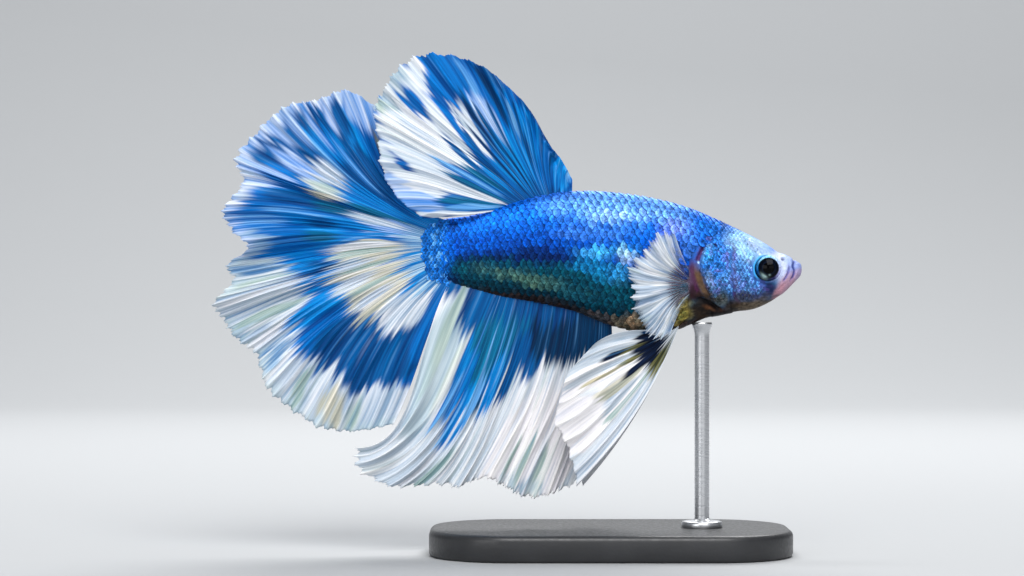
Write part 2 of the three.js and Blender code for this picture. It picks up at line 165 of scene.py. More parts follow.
# Paint for the fins. A dab is a colour, its ray, its share of the way out, its half width across the rays,
# its half length along them, and how far it slants, in rays per unit of the way out.
CAUDAL_PAINT = [
    ("azure", 0.09, 0.6, 0.03, 0.3, 0), ("deep", 0.12, 0.45, 0.06, 0.22, 0),
    ("azure", 0.2, 0.3, 0.05, 0.22, 0), ("deep", 0.17, 0.82, 0.1, 0.2, 0),
    ("azure", 0.14, 0.7, 0.03, 0.12, 0), ("teal", 0.27, 0.22, 0.035, 0.2, 0),
    ("royal", 0.27, 0.76, 0.04, 0.12, 0), ("frill", 0.045, 0.88, 0.022, 0.14, 0),
    ("tan", 0.03, 0.62, 0.005, 0.14, 0), ("lilac", 0.28, 0.95, 0.03, 0.1, 0),
    ("pearl", 0.2, 0.57, 0.042, 0.1, 0), ("sage", 0.235, 0.54, 0.016, 0.09, 0),
    ("lilac", 0.215, 0.74, 0.014, 0.12, 0), ("cream", 0.262, 0.52, 0.014, 0.1, 0.1),
    ("cream", 0.286, 0.6, 0.016, 0.05, 0), ("deep", 0.315, 0.68, 0.016, 0.16, 0),
    ("teal", 0.315, 0.48, 0.02, 0.1, 0), ("pearl", 0.325, 0.97, 0.02, 0.06, 0),
    ("lilac", 0.35, 0.17, 0.08, 0.12, 0), ("pearl", 0.325, 0.26, 0.028, 0.14, 0),
    ("azure", 0.43, 0.62, 0.075, 0.24, 0), ("royal", 0.44, 0.72, 0.05, 0.16, 0),
    ("deep", 0.385, 0.52, 0.022, 0.08, 0), ("teal", 0.44, 0.56, 0.02, 0.1, 0),
    ("sky", 0.347, 0.58, 0.008, 0.24, 0), ("sky", 0.385, 0.86, 0.024, 0.15, 0),
    ("slate", 0.455, 0.94, 0.05, 0.08, 0), ("azure", 0.37, 0.35, 0.02, 0.12, -0.15),
    ("cream", 0.69, 0.27, 0.235, 0.2, 0), ("azure", 0.435, 0.32, 0.018, 0.19, 0.2),
    ("sky", 0.45, 0.36, 0.006, 0.16, 0.2), ("white", 0.5, 0.33, 0.026, 0.15, 0),
    ("sage", 0.55, 0.3, 0.022, 0.16, 0), ("pearl", 0.61, 0.38, 0.03, 0.1, 0),
    ("sage", 0.65, 0.3, 0.016, 0.12, 0), ("pearl", 0.72, 0.36, 0.03, 0.11, 0),
    ("sage", 0.77, 0.28, 0.012, 0.14, 0), ("pearl", 0.82, 0.3, 0.018, 0.12, 0),
    ("mist", 0.55, 0.84, 0.055, 0.2, 0), ("slate", 0.53, 0.87, 0.016, 0.14, 0),
    ("sage", 0.575, 0.82, 0.014, 0.16, 0), ("pearl", 0.64, 0.78, 0.07, 0.25, 0),
    ("white", 0.73, 0.82, 0.05, 0.24, 0), ("sage", 0.688, 0.8, 0.014, 0.18, 0),
    ("pearl", 0.85, 0.88, 0.14, 0.17, 0), ("pearl", 0.96, 0.86, 0.05, 0.18, 0),
    ("azure", 0.52, 0.6, 0.026, 0.1, 0), ("azure", 0.555, 0.62, 0.03, 0.07, 0),
    ("deep", 0.59, 0.52, 0.04, 0.055, -0.3), ("azure", 0.64, 0.5, 0.04, 0.04, 0),
    ("azure", 0.69, 0.51, 0.045, 0.06, 0), ("azure", 0.765, 0.6, 0.05, 0.17, 0),
    ("royal", 0.8, 0.62, 0.04, 0.15, 0), ("deep", 0.85, 0.57, 0.045, 0.15, 0),
    ("deep", 0.91, 0.52, 0.05, 0.2, 0), ("deep", 0.965, 0.46, 0.035, 0.24, 0),
    ("royal", 0.995, 0.34, 0.02, 0.2, 0), ("white", 0.868, 0.78, 0.01, 0.09, 0),
    ("pearl", 0.94, 0.78, 0.014, 0.07, 0), ("cream", 0.9, 0.9, 0.02, 0.12, 0),
    ("sage", 0.845, 0.9, 0.01, 0.12, 0), ("sage", 0.935, 0.9, 0.01, 0.14, 0),
    ("slate", 0.775, 0.92, 0.02, 0.08, 0), ("pearl", 0.92, 0.2, 0.05, 0.14, 0),
    ("frill", 0.16, 1.0, 0.17, 0.06, 0), ("lilac", 0.1, 0.86, 0.006, 0.1, 0),
    ("lilac", 0.135, 0.8, 0.005, 0.14, 0), ("lilac", 0.165, 0.84, 0.007, 0.12, 0),
    ("lilac", 0.19, 0.88, 0.006, 0.1, 0), ("lilac", 0.25, 0.82, 0.006, 0.14, 0),
    ("sky", 0.12, 0.5, 0.006, 0.2, 0), ("sky", 0.16, 0.6, 0.005, 0.16, 0),
    ("frill", 0.4, 1.0, 0.1, 0.05, 0), ("mist", 0.79, 1.03, 0.27, 0.07, 0),
    ("stream", 0.6, 0.05, 0.36, 0.08, 0), ("azure", 0.1, 0.05, 0.13, 0.07, 0),
    ("azure", 0.645, 0.1, 0.018, 0.1, 0.2), ("azure", 0.755, 0.08, 0.018, 0.08, 0.2),
    ("azure", 0.86, 0.06, 0.02, 0.08, 0.2),
]
ANAL_PAINT = [
    ("warm", 0.72, 0.8, 0.2, 0.4, 0), ("mist", 0.055, 0.33, 0.055, 0.36, 0),
    ("sage", 0.03, 0.26, 0.012, 0.26, 0), ("sage", 0.08, 0.34, 0.01, 0.16, 0),
    ("royal", 0.115, 0.1, 0.02, 0.3, 0), ("azure", 0.2, 0.3, 0.1, 0.3, 0),
    ("teal", 0.3, 0.28, 0.1, 0.34, 0), ("sky", 0.14, 0.5, 0.03, 0.14, 0),
    ("azure", 0.24, 0.58, 0.05, 0.17, 0), ("sky", 0.28, 0.5, 0.03, 0.12, 0),
    ("azure", 0.36, 0.44, 0.05, 0.16, 0), ("teal", 0.3, 0.12, 0.2, 0.16, 0),
    ("deep", 0.44, 0.34, 0.05, 0.2, 0), ("deep", 0.52, 0.24, 0.06, 0.16, 0),
    ("abyss", 0.64, 0.1, 0.16, 0.2, 0), ("abyss", 0.85, 0.08, 0.2, 0.17, 0),
    ("deep", 0.08, 0.06, 0.04, 0.1, 0), ("deep", 0.04, -0.05, 0.07, 0.065, 0),
    ("deep", 0.4, 0.0, 0.34, 0.1, 0), ("sky", 0.21, 0.62, 0.008, 0.14, 0),
    ("white", 0.185, 0.6, 0.006, 0.12, 0), ("white", 0.25, 0.66, 0.007, 0.12, 0),
    ("white", 0.33, 0.52, 0.005, 0.1, 0), ("sky", 0.37, 0.3, 0.005, 0.2, 0),
    ("sky", 0.16, 0.22, 0.005, 0.16, 0), ("sky", 0.26, 0.34, 0.006, 0.2, 0),
    ("sky", 0.325, 0.22, 0.004, 0.16, 0), ("mist", 0.415, 0.4, 0.005, 0.12, 0),
    ("mist", 0.475, 0.44, 0.006, 0.1, 0), ("sage", 0.29, 0.92, 0.02, 0.12, 0),
    ("sage", 0.62, 0.86, 0.01, 0.14, 0), ("sage", 0.68, 0.82, 0.012, 0.18, 0),
    ("sage", 0.75, 0.86, 0.014, 0.14, 0), ("mist", 0.71, 0.97, 0.1, 0.04, 0),
]
DORSAL_PAINT = [
    ("royal", 0.2, 0.6, 0.12, 0.5, 0), ("azure", 0.06, 0.55, 0.045, 0.5, 0),
    ("azure", 0.235, 0.55, 0.05, 0.28, 0), ("deep", 0.115, 0.7, 0.014, 0.4, 0),
    ("deep", 0.27, 0.33, 0.012, 0.1, 0), ("deep", 0.2, 0.97, 0.05, 0.1, 0),
    ("deep", 0.34, 0.95, 0.03, 0.16, 0), ("azure", 0.4, 0.25, 0.1, 0.2, 0),
    ("sky", 0.32, 0.6, 0.014, 0.17, 0.06), ("ink", 0.365, 0.7, 0.014, 0.26, 0.05),
    ("lilac", 0.41, 0.52, 0.022, 0.18, 0.02), ("lilac", 0.445, 0.56, 0.014, 0.12, 0),
    ("sky", 0.42, 0.8, 0.012, 0.14, 0), ("azure", 0.53, 0.18, 0.03, 0.16, 0),
    ("white", 0.52, 0.5, 0.03, 0.2, -0.1), ("white", 0.54, 0.94, 0.035, 0.1, 0),
    ("royal", 0.52, 0.73, 0.04, 0.1, 0), ("white", 0.62, 0.62, 0.06, 0.3, -0.1),
    ("white", 0.76, 0.72, 0.17, 0.26, 0), ("white", 0.7, 0.5, 0.04, 0.16, 0),
    ("sky", 0.77, 0.32, 0.022, 0.26, 0), ("white", 0.86, 0.45, 0.034, 0.46, 0),
    ("pearl", 0.68, 0.68, 0.03, 0.14, 0), ("sage", 0.655, 0.96, 0.05, 0.05, 0),
    ("royal", 0.595, 0.82, 0.02, 0.11, 0), ("azure", 0.65, 0.2, 0.025, 0.12, -0.2),
    ("ink", 0.48, 0.42, 0.012, 0.34, -0.06), ("deep", 0.575, 0.33, 0.013, 0.24, -0.18),
    ("deep", 0.655, 0.38, 0.022, 0.18, -0.2), ("deep", 0.69, 0.14, 0.018, 0.16, -0.05),
    ("teal", 0.715, 0.26, 0.024, 0.14, 0), ("teal", 0.815, 0.28, 0.018, 0.25, 0),
    ("teal", 0.915, 0.3, 0.018, 0.3, 0.05), ("sky", 0.95, 0.35, 0.02, 0.35, 0.1),
    ("lilac", 0.95, 0.8, 0.04, 0.18, 0), ("white", 0.988, 0.55, 0.012, 0.5, 0),
    ("royal", 0.832, 0.86, 0.015, 0.07, -0.15), ("sky", 0.02, 0.75, 0.012, 0.3, 0),
    ("deep", 0.5, 0.03, 0.5, 0.05, 0), ("ink", 0.445, 0.3, 0.011, 0.32, 0),
    ("ink", 0.4, 0.36, 0.008, 0.34, 0), ("deep", 0.335, 0.4, 0.009, 0.36, 0),
    ("ink", 0.29, 0.44, 0.007, 0.36, 0), ("deep", 0.235, 0.42, 0.008, 0.34, 0),
    ("deep", 0.175, 0.5, 0.008, 0.38, 0), ("ink", 0.12, 0.48, 0.005, 0.34, 0),
    ("ink", 0.53, 0.24, 0.01, 0.24, -0.05), ("ink", 0.615, 0.2, 0.01, 0.2, -0.05),
    ("mist", 0.6, 1.0, 0.05, 0.08, 0), ("white", 0.83, 1.0, 0.04, 0.06, 0),
    ("lilac", 0.9, 0.95, 0.03, 0.1, 0),
]
PELVIC_PAINT = [
    ("warm", 0.5, 0.7, 0.3, 0.45, 0), ("cream", 0.55, 0.6, 0.07, 0.35, 0),
    ("tan", 0.37, 0.6, 0.02, 0.22, 0), ("white", 0.29, 0.64, 0.045, 0.34, 0),
    ("white", 0.46, 0.74, 0.03, 0.3, 0), ("pearl", 0.65, 0.62, 0.06, 0.3, 0),
    ("sage", 0.76, 0.55, 0.03, 0.4, 0), ("pearl", 0.92, 0.6, 0.07, 0.4, 0),
    ("warm", 0.62, 0.86, 0.2, 0.2, 0), ("olive", 0.36, 0.3, 0.04, 0.14, 0),
    ("navy", 0.35, 0.16, 0.35, 0.12, 0), ("olive", 0.19, 0.33, 0.035, 0.15, 0),
    ("navy", 0.19, 0.47, 0.032, 0.11, 0), ("navy", 0.5, 0.3, 0.04, 0.14, 0),
    ("olive", 0.82, 0.16, 0.15, 0.12, 0),
]
PECTORAL_PAINT = [
    ("glass", 0.5, 0.14, 0.8, 0.14, 0), ("glass", 0.18, 0.3, 0.16, 0.16, 0),
    ("white", 0.2, 0.66, 0.09, 0.4, 0), ("white", 0.34, 0.7, 0.035, 0.4, 0),
    ("white", 0.46, 0.68, 0.02, 0.4, 0), ("pearl", 0.56, 0.74, 0.03, 0.3, 0),
    ("white", 0.66, 0.66, 0.025, 0.36, 0), ("pearl", 0.78, 0.7, 0.05, 0.32, 0),
    ("white", 0.88, 0.74, 0.03, 0.3, 0), ("white", 0.06, 0.75, 0.03, 0.28, 0),
]
# Dark rays run out from the pectoral fin's root.
DARK_RAYS = dict(first=0.06, last=0.96, apart=0.06, reach=0.34)
for dark_ray in np.arange(DARK_RAYS["first"], DARK_RAYS["last"], DARK_RAYS["apart"]):
    PECTORAL_PAINT.append(("stain", dark_ray, 0.04, 0.013, DARK_RAYS["reach"] - 0.04, 0))

DAB_POWER = 2.4         # how square a dab is: 2 is an ellipse
RAGGED = 0.075          # how far single rays carry a colour past the end of its dab
SOFT_ALONG = 0.045      # how softly a dab ends along the rays
SOFT_ACROSS = 0.004     # and across them
# Threads of colour along single rays: colour, how many to a ridge, threshold, strength, on blue or on white.
FILAMENTS = [
    ("sky", 1.3, 0.72, 0.28, True), ("white", 0.9, 0.86, 0.15, True), ("slate", 1.2, 0.74, 0.3, False),
    ("sage", 0.7, 0.76, 0.4, False), ("warm", 0.5, 0.66, 0.5, False),
]

# ---------------------------------------------------------------- the fins' sizes, as in the frame

# Each fin is a fan of rays. roots and tips are x and z along its root and its margin, and headings are place,
# root heading and tip heading in degrees. sweep says where on the root the ray of each margin place starts,
# and sweep_power how fast it leaves there. pleats and ridges are counted across the whole fan, and columns
# and rows are the mesh's. folds bend the sheet, edge_lean (by, edge, width) leans one edge over, and ruffle
# (by, middle, half width, waves) waves the margin. hang (at the root, at the tips) is how far a side fin
# stands off mid body. stout is the extra thickness at the root, and fringe the depth of the margin's points
# as a share of a ray.
CAUDAL = dict(
    roots=[(-21, 41), (-21.8, 39.1), (-22.1, 36.8), (-21.4, 34.1), (-19.9, 32.1)],
    tips=[(-27.3, 53.7), (-32.1, 56.6), (-35.6, 55.6), (-39, 54.7), (-42.5, 52.1), (-45.5, 48.2),
          (-44.8, 45.3), (-47.1, 41.9), (-46.2, 39.6), (-44.2, 37.4), (-46.8, 35.3), (-45.9, 33.4),
          (-48.2, 30.7), (-47.3, 28.5), (-45.6, 26.4), (-43.2, 24.2), (-42.1, 20.8), (-39, 17.6),
          (-35.1, 15.4), (-31, 14.9), (-26.4, 15.8)],
    headings=[(0, 22, 72), (0.1, 20, 58), (0.2, 22, 42), (0.3, 16, 6), (0.42, 4, -10), (0.55, -4, -8),
              (0.65, -12, -22), (0.78, -30, -44), (0.9, -50, -62), (1, -64, -62)],
    sweep=[(0, 0), (0.2, 0.2), (0.4, 0.345), (0.65, 0.5), (0.85, 0.69), (0.94, 0.84), (1, 1)],
    sweep_power=2.0, pleats=56, ridges=168, columns=800, rows=58, pleat_depth=0.17, ridge_depth=0.05,
    folds=11, fold_depth=0.42, edge_lean=(1.9, 0, 0.26), ruffle=(1.5, 0.52, 0.17, 6.4),
    stout=0.4, fringe=0.016, ground="royal", paint=CAUDAL_PAINT, seed=110,
)
ANAL = dict(
    roots=[(-19.9, 32.5), (-16.1, 31.8), (-11, 31), (-5.5, 29.9), (0.2, 28.2)],
    tips=[(-30.6, 13), (-30.7, 10.6), (-27.9, 8.6), (-24.2, 8.3), (-20.7, 8.6), (-18.9, 8), (-15.9, 9.2),
          (-13.2, 8.3), (-11, 7.2), (-8.2, 7), (-5.9, 7.9), (-3.4, 9.1)],
    headings=[(0, -62, -2), (0.12, -66, -22), (0.25, -72, -42), (0.4, -80, -58), (0.6, -86, -68),
              (0.8, -90, -72), (1, -92, -68)],
    sweep=[(0, 0), (0.03, 0.15), (0.1, 0.32), (0.25, 0.42), (0.42, 0.54), (0.65, 0.75), (0.85, 0.91), (1, 1)],
    sweep_power=1.0, pleats=24, ridges=76, columns=420, rows=64, pleat_depth=0.17, ridge_depth=0.05,
    folds=8, fold_depth=0.4, edge_lean=(-1.7, 0, 0.35),
    stout=0.4, fringe=0.021, ground="white", paint=ANAL_PAINT, seed=210,
)
DORSAL = dict(
    roots=[(-4.6, 43.6), (-6.6, 43.5), (-8.5, 43.2), (-10.7, 42.6), (-12.9, 42)],
    tips=[(-4.6, 45.6), (-5.9, 48), (-7.3, 49.8), (-9.8, 54.1), (-12.8, 57.3), (-15.9, 59.6),
          (-19.5, 60.8), (-23.4, 60.7), (-26.2, 58.6), (-27.9, 55.7), (-28.8, 53.9), (-28.1, 50.6),
          (-27.7, 46.8), (-26, 43.4), (-22.7, 40.8)],
    headings=[(0, 88, 90), (0.15, 85, 70), (0.3, 72, 52), (0.45, 60, 48), (0.6, 48, 42), (0.75, 34, 26),
              (0.88, 12, -2), (1, -14, -5)],
    sweep=[(0, 0), (0.03, 0.12), (0.1, 0.27), (0.2, 0.36), (0.3, 0.43), (0.5, 0.57), (0.65, 0.70),
           (0.8, 0.82), (0.9, 0.9), (1, 1)],
    sweep_power=1.2, pleats=26, ridges=104, columns=480, rows=56, pleat_depth=0.18, ridge_depth=0.05,
    folds=8, fold_depth=0.4, edge_lean=(-2.0, 1, 0.5), calm_front=0.3,
    stout=0.4, fringe=0.018, ground="royal", paint=DORSAL_PAINT, seed=310,
)
PELVIC = dict(
    roots=[(6.6, 27.2), (7, 27.1), (7.5, 27), (8, 26.9)],
    tips=[(-2.2, 25.5), (-5.2, 22.1), (-6.1, 19.3), (-6.8, 16.3), (-5.4, 13.8), (-4.6, 11.1), (-4.1, 8.6)],
    headings=[(0, 4, -42), (0.3, -18, -42), (0.6, -42, -42), (1, -68, -46)],
    sweep=[(0, 0), (0.05, 0.2), (0.25, 0.5), (0.4, 0.6), (0.55, 0.74), (0.75, 0.84), (1, 1)],
    sweep_power=1.2, pleats=8, ridges=30, columns=160, rows=90, pleat_depth=0.2, ridge_depth=0.05,
    folds=3, fold_depth=0.22, hang=(-1.3, -4.7),
    stout=0.35, fringe=0.012, ground="white", paint=PELVIC_PAINT, seed=410,
)
PECTORAL = dict(
    roots=[(9.6, 34.2), (9.3, 33.5), (9.05, 32.6), (9.05, 31.8), (9.2, 31)],
    tips=[(7.6, 39.1), (5.6, 38.7), (3.8, 36.9), (2.3, 34.8), (2.4, 32.4), (2.9, 29.9), (4, 27.3),
          (5.6, 26.5), (7, 26.8)],
    headings=[(0, 62, 78), (0.25, 35, 48), (0.5, 2, 8), (0.75, -28, -36), (1, -50, -68)],
    sweep=[(0, 0), (0.05, 0.14), (0.2, 0.27), (0.5, 0.5), (0.8, 0.74), (0.95, 0.87), (1, 1)],
    sweep_power=1.6, pleats=16, ridges=52, columns=230, rows=50, pleat_depth=0.08, ridge_depth=0.035,
    folds=5, fold_depth=0.12, hang=(-3.35, -5.45),
    stout=0.15, fringe=0.08, ground="glass", paint=PECTORAL_PAINT, seed=510,
)
RAY_PULL = (0.38, 0.33)     # how far a ray keeps its heading at the root and the tip, in shares of its length
ROOT_START = -0.07          # where a ray starts inside the body, as a share of its length
WEB_THICKNESS = 0.1
FOLDS_FULL_AT = 0.75        # how far out the folds are full
LEAN_FULL_AT = 0.6          # and a leaning edge


def fin_flat(fin, place, t):
    """x and z of the fan's sheet at a place across it and a share t of the way out."""
    root, tip = along(evenly(fin["roots"]), place), along(evenly(fin["tips"]), place)
    heading = np.radians(along(fin["headings"], place))
    length = np.linalg.norm(tip - root, axis=-1)[..., None]

    def out(angle):
        return joined(-np.cos(angle), np.sin(angle))

    near = root + RAY_PULL[0] * length * out(heading[..., 0])
    far = tip - RAY_PULL[1] * length * out(heading[..., 1])
    t = np.asarray(t, float)[..., None]
    return (1 - t)**3 * root + 3 * (1 - t)**2 * t * near + 3 * (1 - t) * t * t * far + t**3 * tip


def fin_place(fin, ray, t):
    """Where across the fan the ray that ends at this margin place has got to at t."""
    start = value_along(fin["sweep"], ray)
    return ray + (start - ray) * (1 - np.clip(t, 0, 1)) ** fin["sweep_power"]


def crest(fin, ray, t, count):
    """Sharp crests and wide troughs across the rays, from 1 to -1. Their places wander a little."""
    wander = (noise(ray * count * 0.5, t * 2.4, fin["seed"]) - 0.5) * 0.9
    return 1 - 2 * np.abs(np.sin(np.pi * (count * ray + wander))) ** 0.8


def painted_ridge_light(fin, ray, t):
    """How light a fin is painted, from 0 in a groove to 1 on a ridge: painted highlight on the crests of its
    pleats and ridges, painted shade in their troughs, and random streaks along its rays.
    """
    fine, broad, seed = fin["ridges"], fin["pleats"], fin["seed"]
    light = 0.48 + 0.2 * crest(fin, ray, t, broad) + 0.14 * crest(fin, ray, t, fine)
    light = light + 0.62 * (noise(ray * fine * 1.5, t * 2.5, seed + 5) - 0.5)
    light = light + 0.5 * (noise(ray * broad * 1.1, t * 2, seed + 6) - 0.5)
    return np.clip(light, 0, 1)


def painted(fin, ray, t):
    """Linear colours of a fin: its ground, each dab over it with edges that follow the rays, and threads."""
    fine, seed = fin["ridges"], fin["seed"]
    fray = (noise(ray * fine, t * 1.2, seed + 1) + 1.3 * noise(ray * fine * 2.1, t * 1.5, seed + 2)
            + 0.5 * noise(ray * fine * 0.3, t * 1.2, seed + 4))
    shifted_t = t + RAGGED * (fray - 1.4)
    shifted_ray = ray + 0.012 * (noise(ray * 14, t * 6, seed + 3) - 0.5)
    # painted highlight on the crests and painted shade in the grooves of the same pleats and ridges that shape
    # the sheet
    light = painted_ridge_light(fin, ray, t)
    colour = tone(fin["ground"], light)
    for name, at_ray, at_t, half_width, half_length, slant in fin["paint"]:
        across = (np.abs(shifted_ray - at_ray - slant * (t - at_t)) / half_width) ** DAB_POWER
        out = (np.abs(shifted_t - at_t) / half_length) ** DAB_POWER
        reach = across + out + 1e-9
        softness = (across * SOFT_ACROSS / half_width + out * SOFT_ALONG / half_length) / reach
        inside = smooth((1 - reach ** (1 / DAB_POWER)) / softness, -1, 1)
        colour = towards(colour, tone(name, light), inside)
    for number, (name, cells, threshold, strength, on_blue) in enumerate(FILAMENTS):
        thread = smooth(noise(ray * fine * cells, t * 2.2, seed + 20 + number), threshold, threshold + 0.16)
        pale = smooth(colour[..., 0], 0.1, 0.5)
        colour = towards(colour, tone(name, light), strength * thread * (1 - pale if on_blue else pale))
    return colour


# ---------------------------------------------------------------- the body's surface, as in the frame

# Stations of the body: x, height of the back, height of the belly, half width.
STATIONS = [
    (23.25, 35.0, 34.3, 0.2), (23.1, 35.35, 33.85, 0.46), (22.6, 35.65, 33.3, 0.88),
    (21.95, 36.1, 32.6, 1.22), (21.2, 36.5, 31.84, 1.6), (20.4, 36.75, 31.3, 1.95), (19.5, 37.4, 30.7, 2.3),
    (18.3, 38.15, 30.1, 2.6),
    (17.1, 38.8, 29.7, 2.85), (14.6, 40.0, 29.4, 3.15), (11.7, 41.3, 28.6, 3.4), (9.0, 42.35, 27.5, 3.5),
    (4.8, 43.4, 26.9, 3.5), (0.4, 44.0, 27.75, 3.3), (-4.5, 44.15, 29.6, 2.9), (-9.2, 43.5, 30.65, 2.4),
    (-13.0, 42.4, 31.3, 1.95), (-17.0, 41.2, 32.15, 1.5), (-20.0, 40.8, 32.65, 1.1),
    (-21.3, 40.4, 33.1, 0.85), (-22.0, 39.2, 34.3, 0.55), (-22.3, 37.4, 36.2, 0.15),
]
NOSE, TAIL = STATIONS[0][0], STATIONS[-1][0]
FLANK_POWER = 0.92      # how round a cross-section is: 1 is an ellipse
# The spine bends to the right ahead of one place and to the left behind another, with the square of the way.
SPINE = dict(head_from=5, head_bend=-0.004, tail_from=-5, tail_bend=0.002)


def section(x):
    """Height of the back, height of the belly and half width of the body at x."""
    return np.moveaxis(along(STATIONS, np.clip(x, TAIL, NOSE)), -1, 0)


def spine_offset(x):
    """How far to the left the middle of the body lies at x."""
    ahead = np.maximum(x - SPINE["head_from"], 0)
    behind = np.maximum(SPINE["tail_from"] - x, 0)
    return SPINE["head_bend"] * ahead**2 + SPINE["tail_bend"] * behind**2


def closed_section(x, angle):
    """A point of the body without scales. The angle is 0 at mid right, and a quarter turn at the back."""
    back, belly, half_width = section(x)
    across = -np.sign(np.cos(angle)) * np.abs(np.cos(angle)) ** FLANK_POWER
    height = (back + belly) / 2 + np.sin(angle) * (back - belly) / 2
    return joined(x, across * half_width + spine_offset(x), height)


class Surface:
    """The body's surface by x and by share of the way round, from mid right up over the back."""

    rows, spokes = 520, 720

    def __init__(self):
        share = np.linspace(0, 1, self.rows)
        # the rows lie closer together at the nose and the tail
        self.x = NOSE + (TAIL - NOSE) * (share - 0.85 * np.sin(2 * np.pi * share) / (2 * np.pi))
        ring = closed_section(self.x[:, None], np.linspace(0, 2 * np.pi, 2 * self.spokes + 1)[None, :])
        step = np.linalg.norm(np.diff(ring, axis=1), axis=-1)
        length = np.concatenate([np.zeros((self.rows, 1)), np.cumsum(step, 1)], 1)
        self.girth = length[:, -1]
        wanted = np.linspace(0, 1, self.spokes, endpoint=False) * self.girth[:, None]
        self.points = np.array([[np.interp(wanted[row], length[row], ring[row, :, axis]) for axis in range(3)]
                                for row in range(self.rows)]).transpose(0, 2, 1)
        upwards = np.roll(self.points, -1, 1) - np.roll(self.points, 1, 1)
        normals = np.cross(upwards, np.gradient(self.points, axis=0))
        normals[0], normals[-1] = (1, 0, 0), (-1, 0, 0)
        self.normals = normals / (np.linalg.norm(normals, axis=-1, keepdims=True) + 1e-12)

    def girth_at(self, x):
        """The length round the body at x."""
        return np.interp(-x, -self.x, self.girth)

    def at(self, x, share, height=0.0):
        """The point at x and a share of the way round, lifted by a height along the normal."""
        x, share = np.broadcast_arrays(np.asarray(x, float), np.asarray(share, float))
        row = np.interp(-x, -self.x, np.arange(self.rows))
        i = np.clip(np.floor(row).astype(int), 0, self.rows - 2)
        u = (row - i)[..., None]
        column = (share % 1) * self.spokes
        j = np.floor(column).astype(int)
        v = (column - j)[..., None]
        j, k = j % self.spokes, (j + 1) % self.spokes

        def mix(table):
            return (table[i, j] * (1 - u) + table[i + 1, j] * u) * (1 - v) + (
                table[i, k] * (1 - u) + table[i + 1, k] * u) * v

        normal = mix(self.normals)
        normal /= np.linalg.norm(normal, axis=-1, keepdims=True) + 1e-12
        return mix(self.points) + normal * np.asarray(height, float)[..., None]


BODY = Surface()

# ---------------------------------------------------------------- features of the head, as x and z lines

GILL_EDGE = [(12.95, 37.5), (12.45, 37.78), (11.85, 37.75), (11.4, 37.3), (11.15, 36.5), (10.9, 35.6),
             (10.9, 34.8), (11.25, 33.5), (11.75, 32.1), (12.25, 31.1), (12.75, 30.3), (13.35, 29.8)]
GILL_OPENING = [(11.3, 37.6), (10.95, 36.9), (10.6, 36.2), (10.4, 35.5)]
GILL_STRIP = [(10.35, 34.9), (10.65, 33.6), (11.05, 32.6), (11.5, 31.8), (12.1, 31.05)]
GILL_CREASE = [(12.05, 34.5), (12.65, 33.5), (13.45, 32.5), (14.45, 31.8)]
GILL_RIM = [(12.2, 37.6), (11.75, 37.5), (11.4, 37.1), (11.2, 36.5), (11.0, 35.8), (11.05, 35.2)]
GILL_CROWN = [(12.85, 37.4), (12.5, 37.75), (11.85, 37.8)]
# a small painted highlight at the gill opening
GILL_GLINT = [(10.65, 35.35), (10.55, 35.5), (10.5, 35.6)]
SHOULDER_LINE = [(9.85, 35.6), (9.8, 34.4), (10.15, 33.0), (10.65, 31.7), (11.05, 31.0)]
THROAT_SLIT = [(10.3, 31.05), (10.95, 30.95), (11.6, 30.65), (12.25, 30.25), (12.95, 29.85), (13.6, 29.6)]
THROAT_FOLD = [(11.3, 30.15), (12.0, 29.95), (12.8, 29.7), (13.8, 29.45)]
SLIT_BROW = [(10.2, 31.65), (11.0, 31.5), (11.8, 31.2), (12.4, 30.8)]
UNDER_SLIT = [(12.15, 29.2), (13.15, 29.15), (14.15, 29.3), (15.05, 29.5)]
CHEEK_END = [(14.35, 31.6), (14.45, 30.9), (14.55, 30.2), (14.7, 29.7)]
CHEEK_LINE = [(14.25, 38.1), (14.95, 37.2), (14.8, 36.2), (14.7, 35.2), (15.05, 34.2), (15.15, 33.1),
              (14.95, 32.2), (15.05, 31.3), (15.55, 30.6)]
JAW_FOLD = [(21.65, 35.15), (21.52, 34.3), (21.2, 33.6), (20.9, 33.2)]
MOUTH_LINE = [(22.3, 36.2), (22.22, 35.5), (22.08, 35.0), (22.25, 34.5), (22.12, 33.9), (21.75, 33.2)]
UPPER_LIP = [(21.7, 36.1), (21.9, 35.5), (21.8, 34.9), (21.82, 34.2), (21.5, 33.4)]
LOWER_LIP = [(22.6, 35.5), (22.65, 34.8), (22.5, 34.1), (22.1, 33.4)]
CHIN_FOLD = [(21.2, 33.0), (20.5, 32.3), (19.85, 31.6)]
# Each line's half width in the skin, and how far it stands out.
FOLDS = [
    (GILL_OPENING, 0.2, -0.28), (GILL_STRIP, 0.34, 0.06), (SHOULDER_LINE, 0.16, -0.14),
    (THROAT_SLIT, 0.24, -0.34), (THROAT_FOLD, 0.2, 0.06), (CHEEK_END, 0.14, -0.06), (UNDER_SLIT, 0.45, 0.16),
    (CHEEK_LINE, 0.16, -0.05),
    (GILL_CREASE, 0.12, -0.05), (JAW_FOLD, 0.11, -0.15), (MOUTH_LINE, 0.11, -0.16), (UPPER_LIP, 0.16, 0.08),
    (LOWER_LIP, 0.3, 0.13), (CHIN_FOLD, 0.12, -0.06),
]
ORBIT = dict(x=18.94, z=34.7, radius=1.64)
NOSTRIL = dict(x=20.88, z=35.9, radius=0.2)
HEAD_STARTS = 8.5


